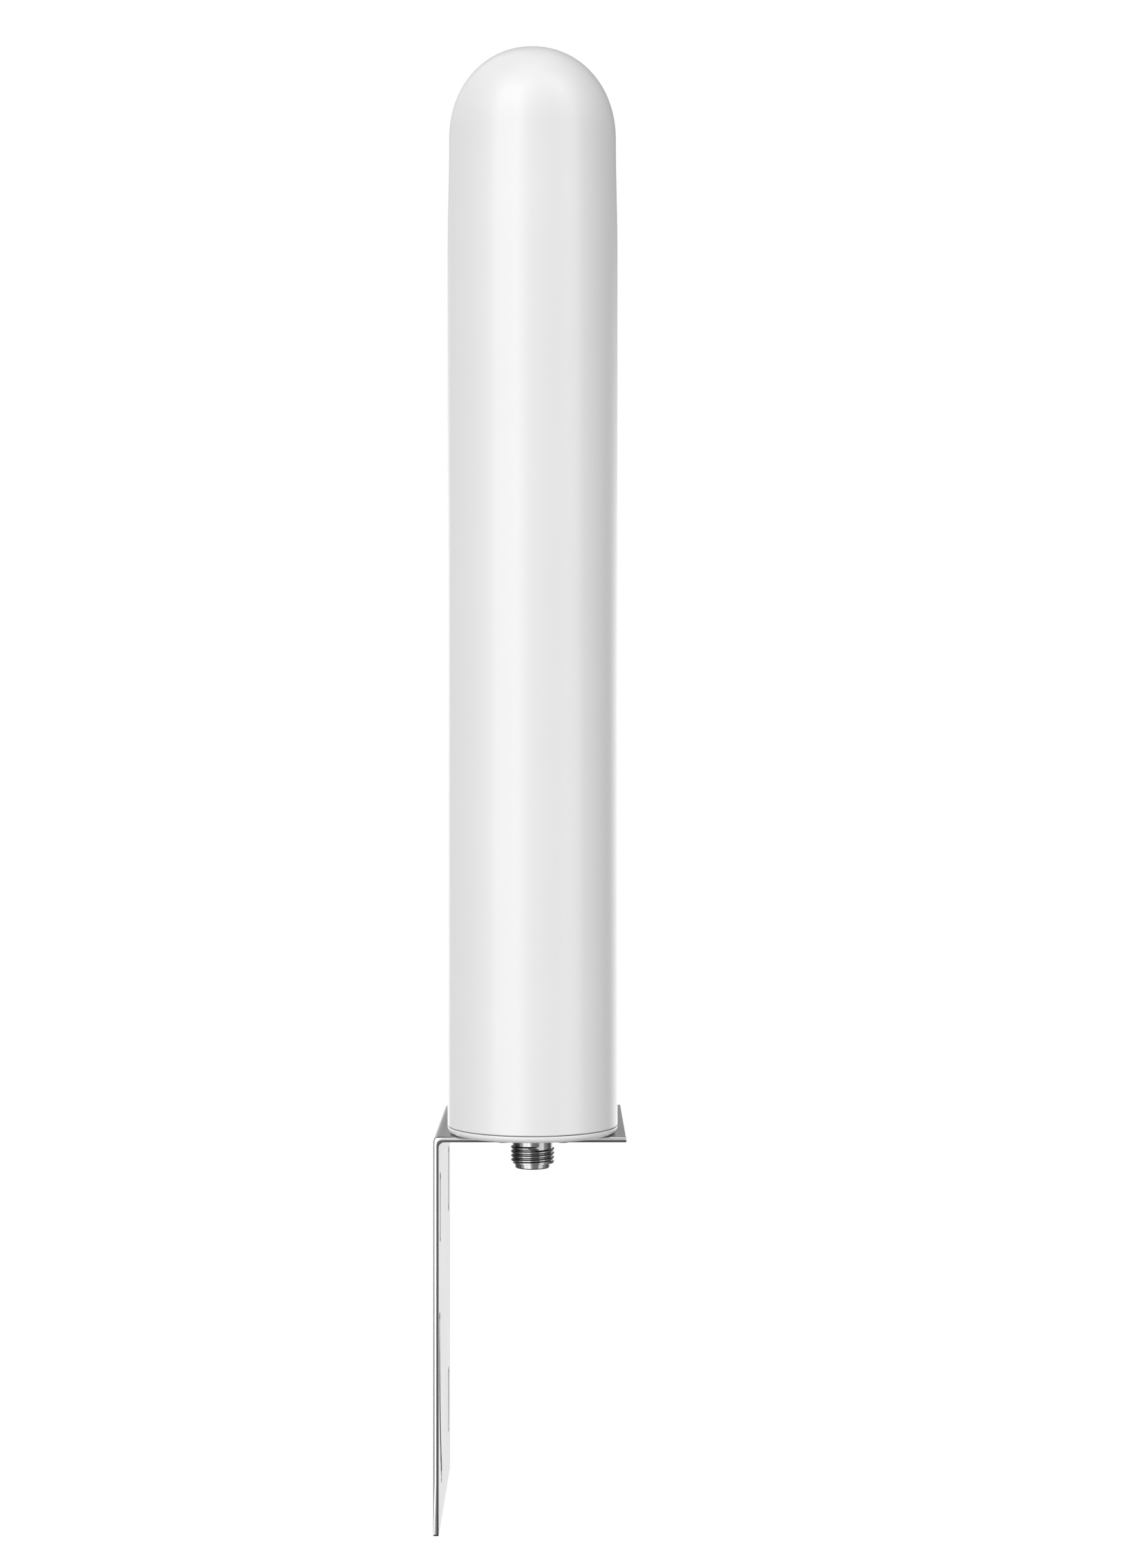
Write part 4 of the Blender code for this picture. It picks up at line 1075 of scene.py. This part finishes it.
def dress_cad_nodes():
    """Better materials for the CAD nodes that stay as they are."""
    finishes = {"radiator_board": "board_laminate", "front_copper": "copper_foil",
                "back_copper": "copper_foil", "feed_pin": "cable_copper",
                "top_buffer": "seal_rubber"}
    finishes.update({f"centring_disc_{number}": "disc_plastic" for number in (1, 2, 3)})
    for name, finish in finishes.items():
        node = NODES[name]
        if not node.material_slots:
            node.data.materials.append(None)
        for material_slot in node.material_slots:
            material_slot.material = FINISH[finish]


# ---- studio
def make_world():
    """Soft boxes round the object as bands of azimuth and elevation; plain white to the camera.

    Azimuth is counted in degrees from the front, positive to the right. Each box is bright
    within its half-width and fades out over its soft border.
    """
    world = bpy.data.worlds.new("studio")
    bpy.context.scene.world = world
    world.use_nodes = True
    world.node_tree.nodes.clear()
    paint = Paint(world.node_tree)
    x, y, z = paint.parts(paint.node("ShaderNodeTexCoord", output="Generated"))
    degrees = 180 / math.pi
    azimuth = paint.maths("ARCTAN2", x, y * -1.0) * degrees
    elevation = paint.maths("ARCSINE", z) * degrees

    def band(value, centre, half, soft):
        """1 within half of the centre, 0 beyond half + soft."""
        return 1 - paint.step(half, half + soft, paint.maths("ABSOLUTE", value - centre))

    def box(light, centre, half, soft, middle=22.0, half_height=32.0, soft_height=14.0):
        across = band(paint.maths("WRAP", azimuth - centre, 180.0, -180.0), 0.0, half, soft)
        return across * band(elevation, middle, half_height, soft_height) * light

    boxes = [  # light, azimuth, half-width and soft border
        box(2.8, -34, 13, 14, middle=17.0, half_height=27.0),  # front left
        box(0.85, -60, 8, 14),  # its soft sides
        box(1.2, -14, 6, 8),
        box(0.45, 13, 12, 10),  # gap between the front boxes
        box(2.0, 53, 9, 12),  # front right
        box(0.5, 75, 8, 12),
        box(0.3, 95, 6, 10),  # right
        box(0.58, 0, 40, 20, middle=66.0, half_height=14, soft_height=10),  # over the front
        box(1.42, 169, 24, 20, middle=-12.0, half_height=14, soft_height=14),  # low, behind
        box(0.20, 170, 40, 30, middle=30.0, half_height=45),  # fill behind
        box(0.5, -140, 15, 20),  # back left
        box(0.35, -95, 14, 16),  # left
    ]
    ambient = paint.step(-34.0, -18.0, elevation) * 0.04 + 0.02
    light = sum(boxes, ambient)
    seen = paint.node("ShaderNodeLightPath", output="Is Camera Ray")
    strength = light * (1 - seen) + seen
    glow = paint.node("ShaderNodeBackground", {}, {"Color": (1, 1, 1, 1), "Strength": strength})
    paint.node("ShaderNodeOutputWorld", {}, {"Surface": glow})


def make_floor():
    """Wide pale floor far below the bracket; it lights the underside but isn't mirrored."""
    half, level = 30.0, BRACKET_LOW[2] - 0.6
    mesh = bpy.data.meshes.new("floor")
    corners = [(x * half, y * half, level) for x, y in ((-1, -1), (1, -1), (1, 1), (-1, 1))]
    mesh.from_pydata(corners, [], [(0, 1, 2, 3)])
    floor = bpy.data.objects.new("floor", mesh)
    bpy.context.scene.collection.objects.link(floor)
    paper = bpy.data.materials.new("white_paper")
    paper.use_nodes = True
    paper.node_tree.nodes.clear()
    paint = Paint(paper.node_tree)
    seen = paint.node("ShaderNodeLightPath", output="Is Camera Ray")
    glow = paint.node("ShaderNodeEmission", {}, {"Color": (1, 1, 1, 1),
                                                 "Strength": seen * 0.6 + 0.4})
    paint.node("ShaderNodeOutputMaterial", {}, {"Surface": glow})
    mesh.materials.append(paper)
    floor.visible_glossy = False
    floor.visible_shadow = False


def make_camera():
    """Level camera in front of the antenna, a little to its right."""
    camera = bpy.data.objects.new("camera", bpy.data.cameras.new("camera"))
    bpy.context.scene.collection.objects.link(camera)
    camera.data.lens = 55.556
    camera.data.sensor_width = 36.0
    camera.data.clip_start = 0.01
    camera.data.clip_end = 100.0
    camera.location = (0.0468, -0.9156, 0.1991)
    camera.rotation_euler = (math.radians(90), 0, 0)
    bpy.context.scene.camera = camera


make_radome()
make_cap()
make_cap_bosses()
make_board_posts()
make_seals()
make_vent_plug()
make_bracket()
make_barrel()
make_plate()
make_insulator()
make_contact()
make_screws()
make_washers()
make_inserts()
make_feed()
dress_cad_nodes()
make_world()
make_floor()
make_camera()
bpy.context.scene.view_settings.view_transform = "Standard"
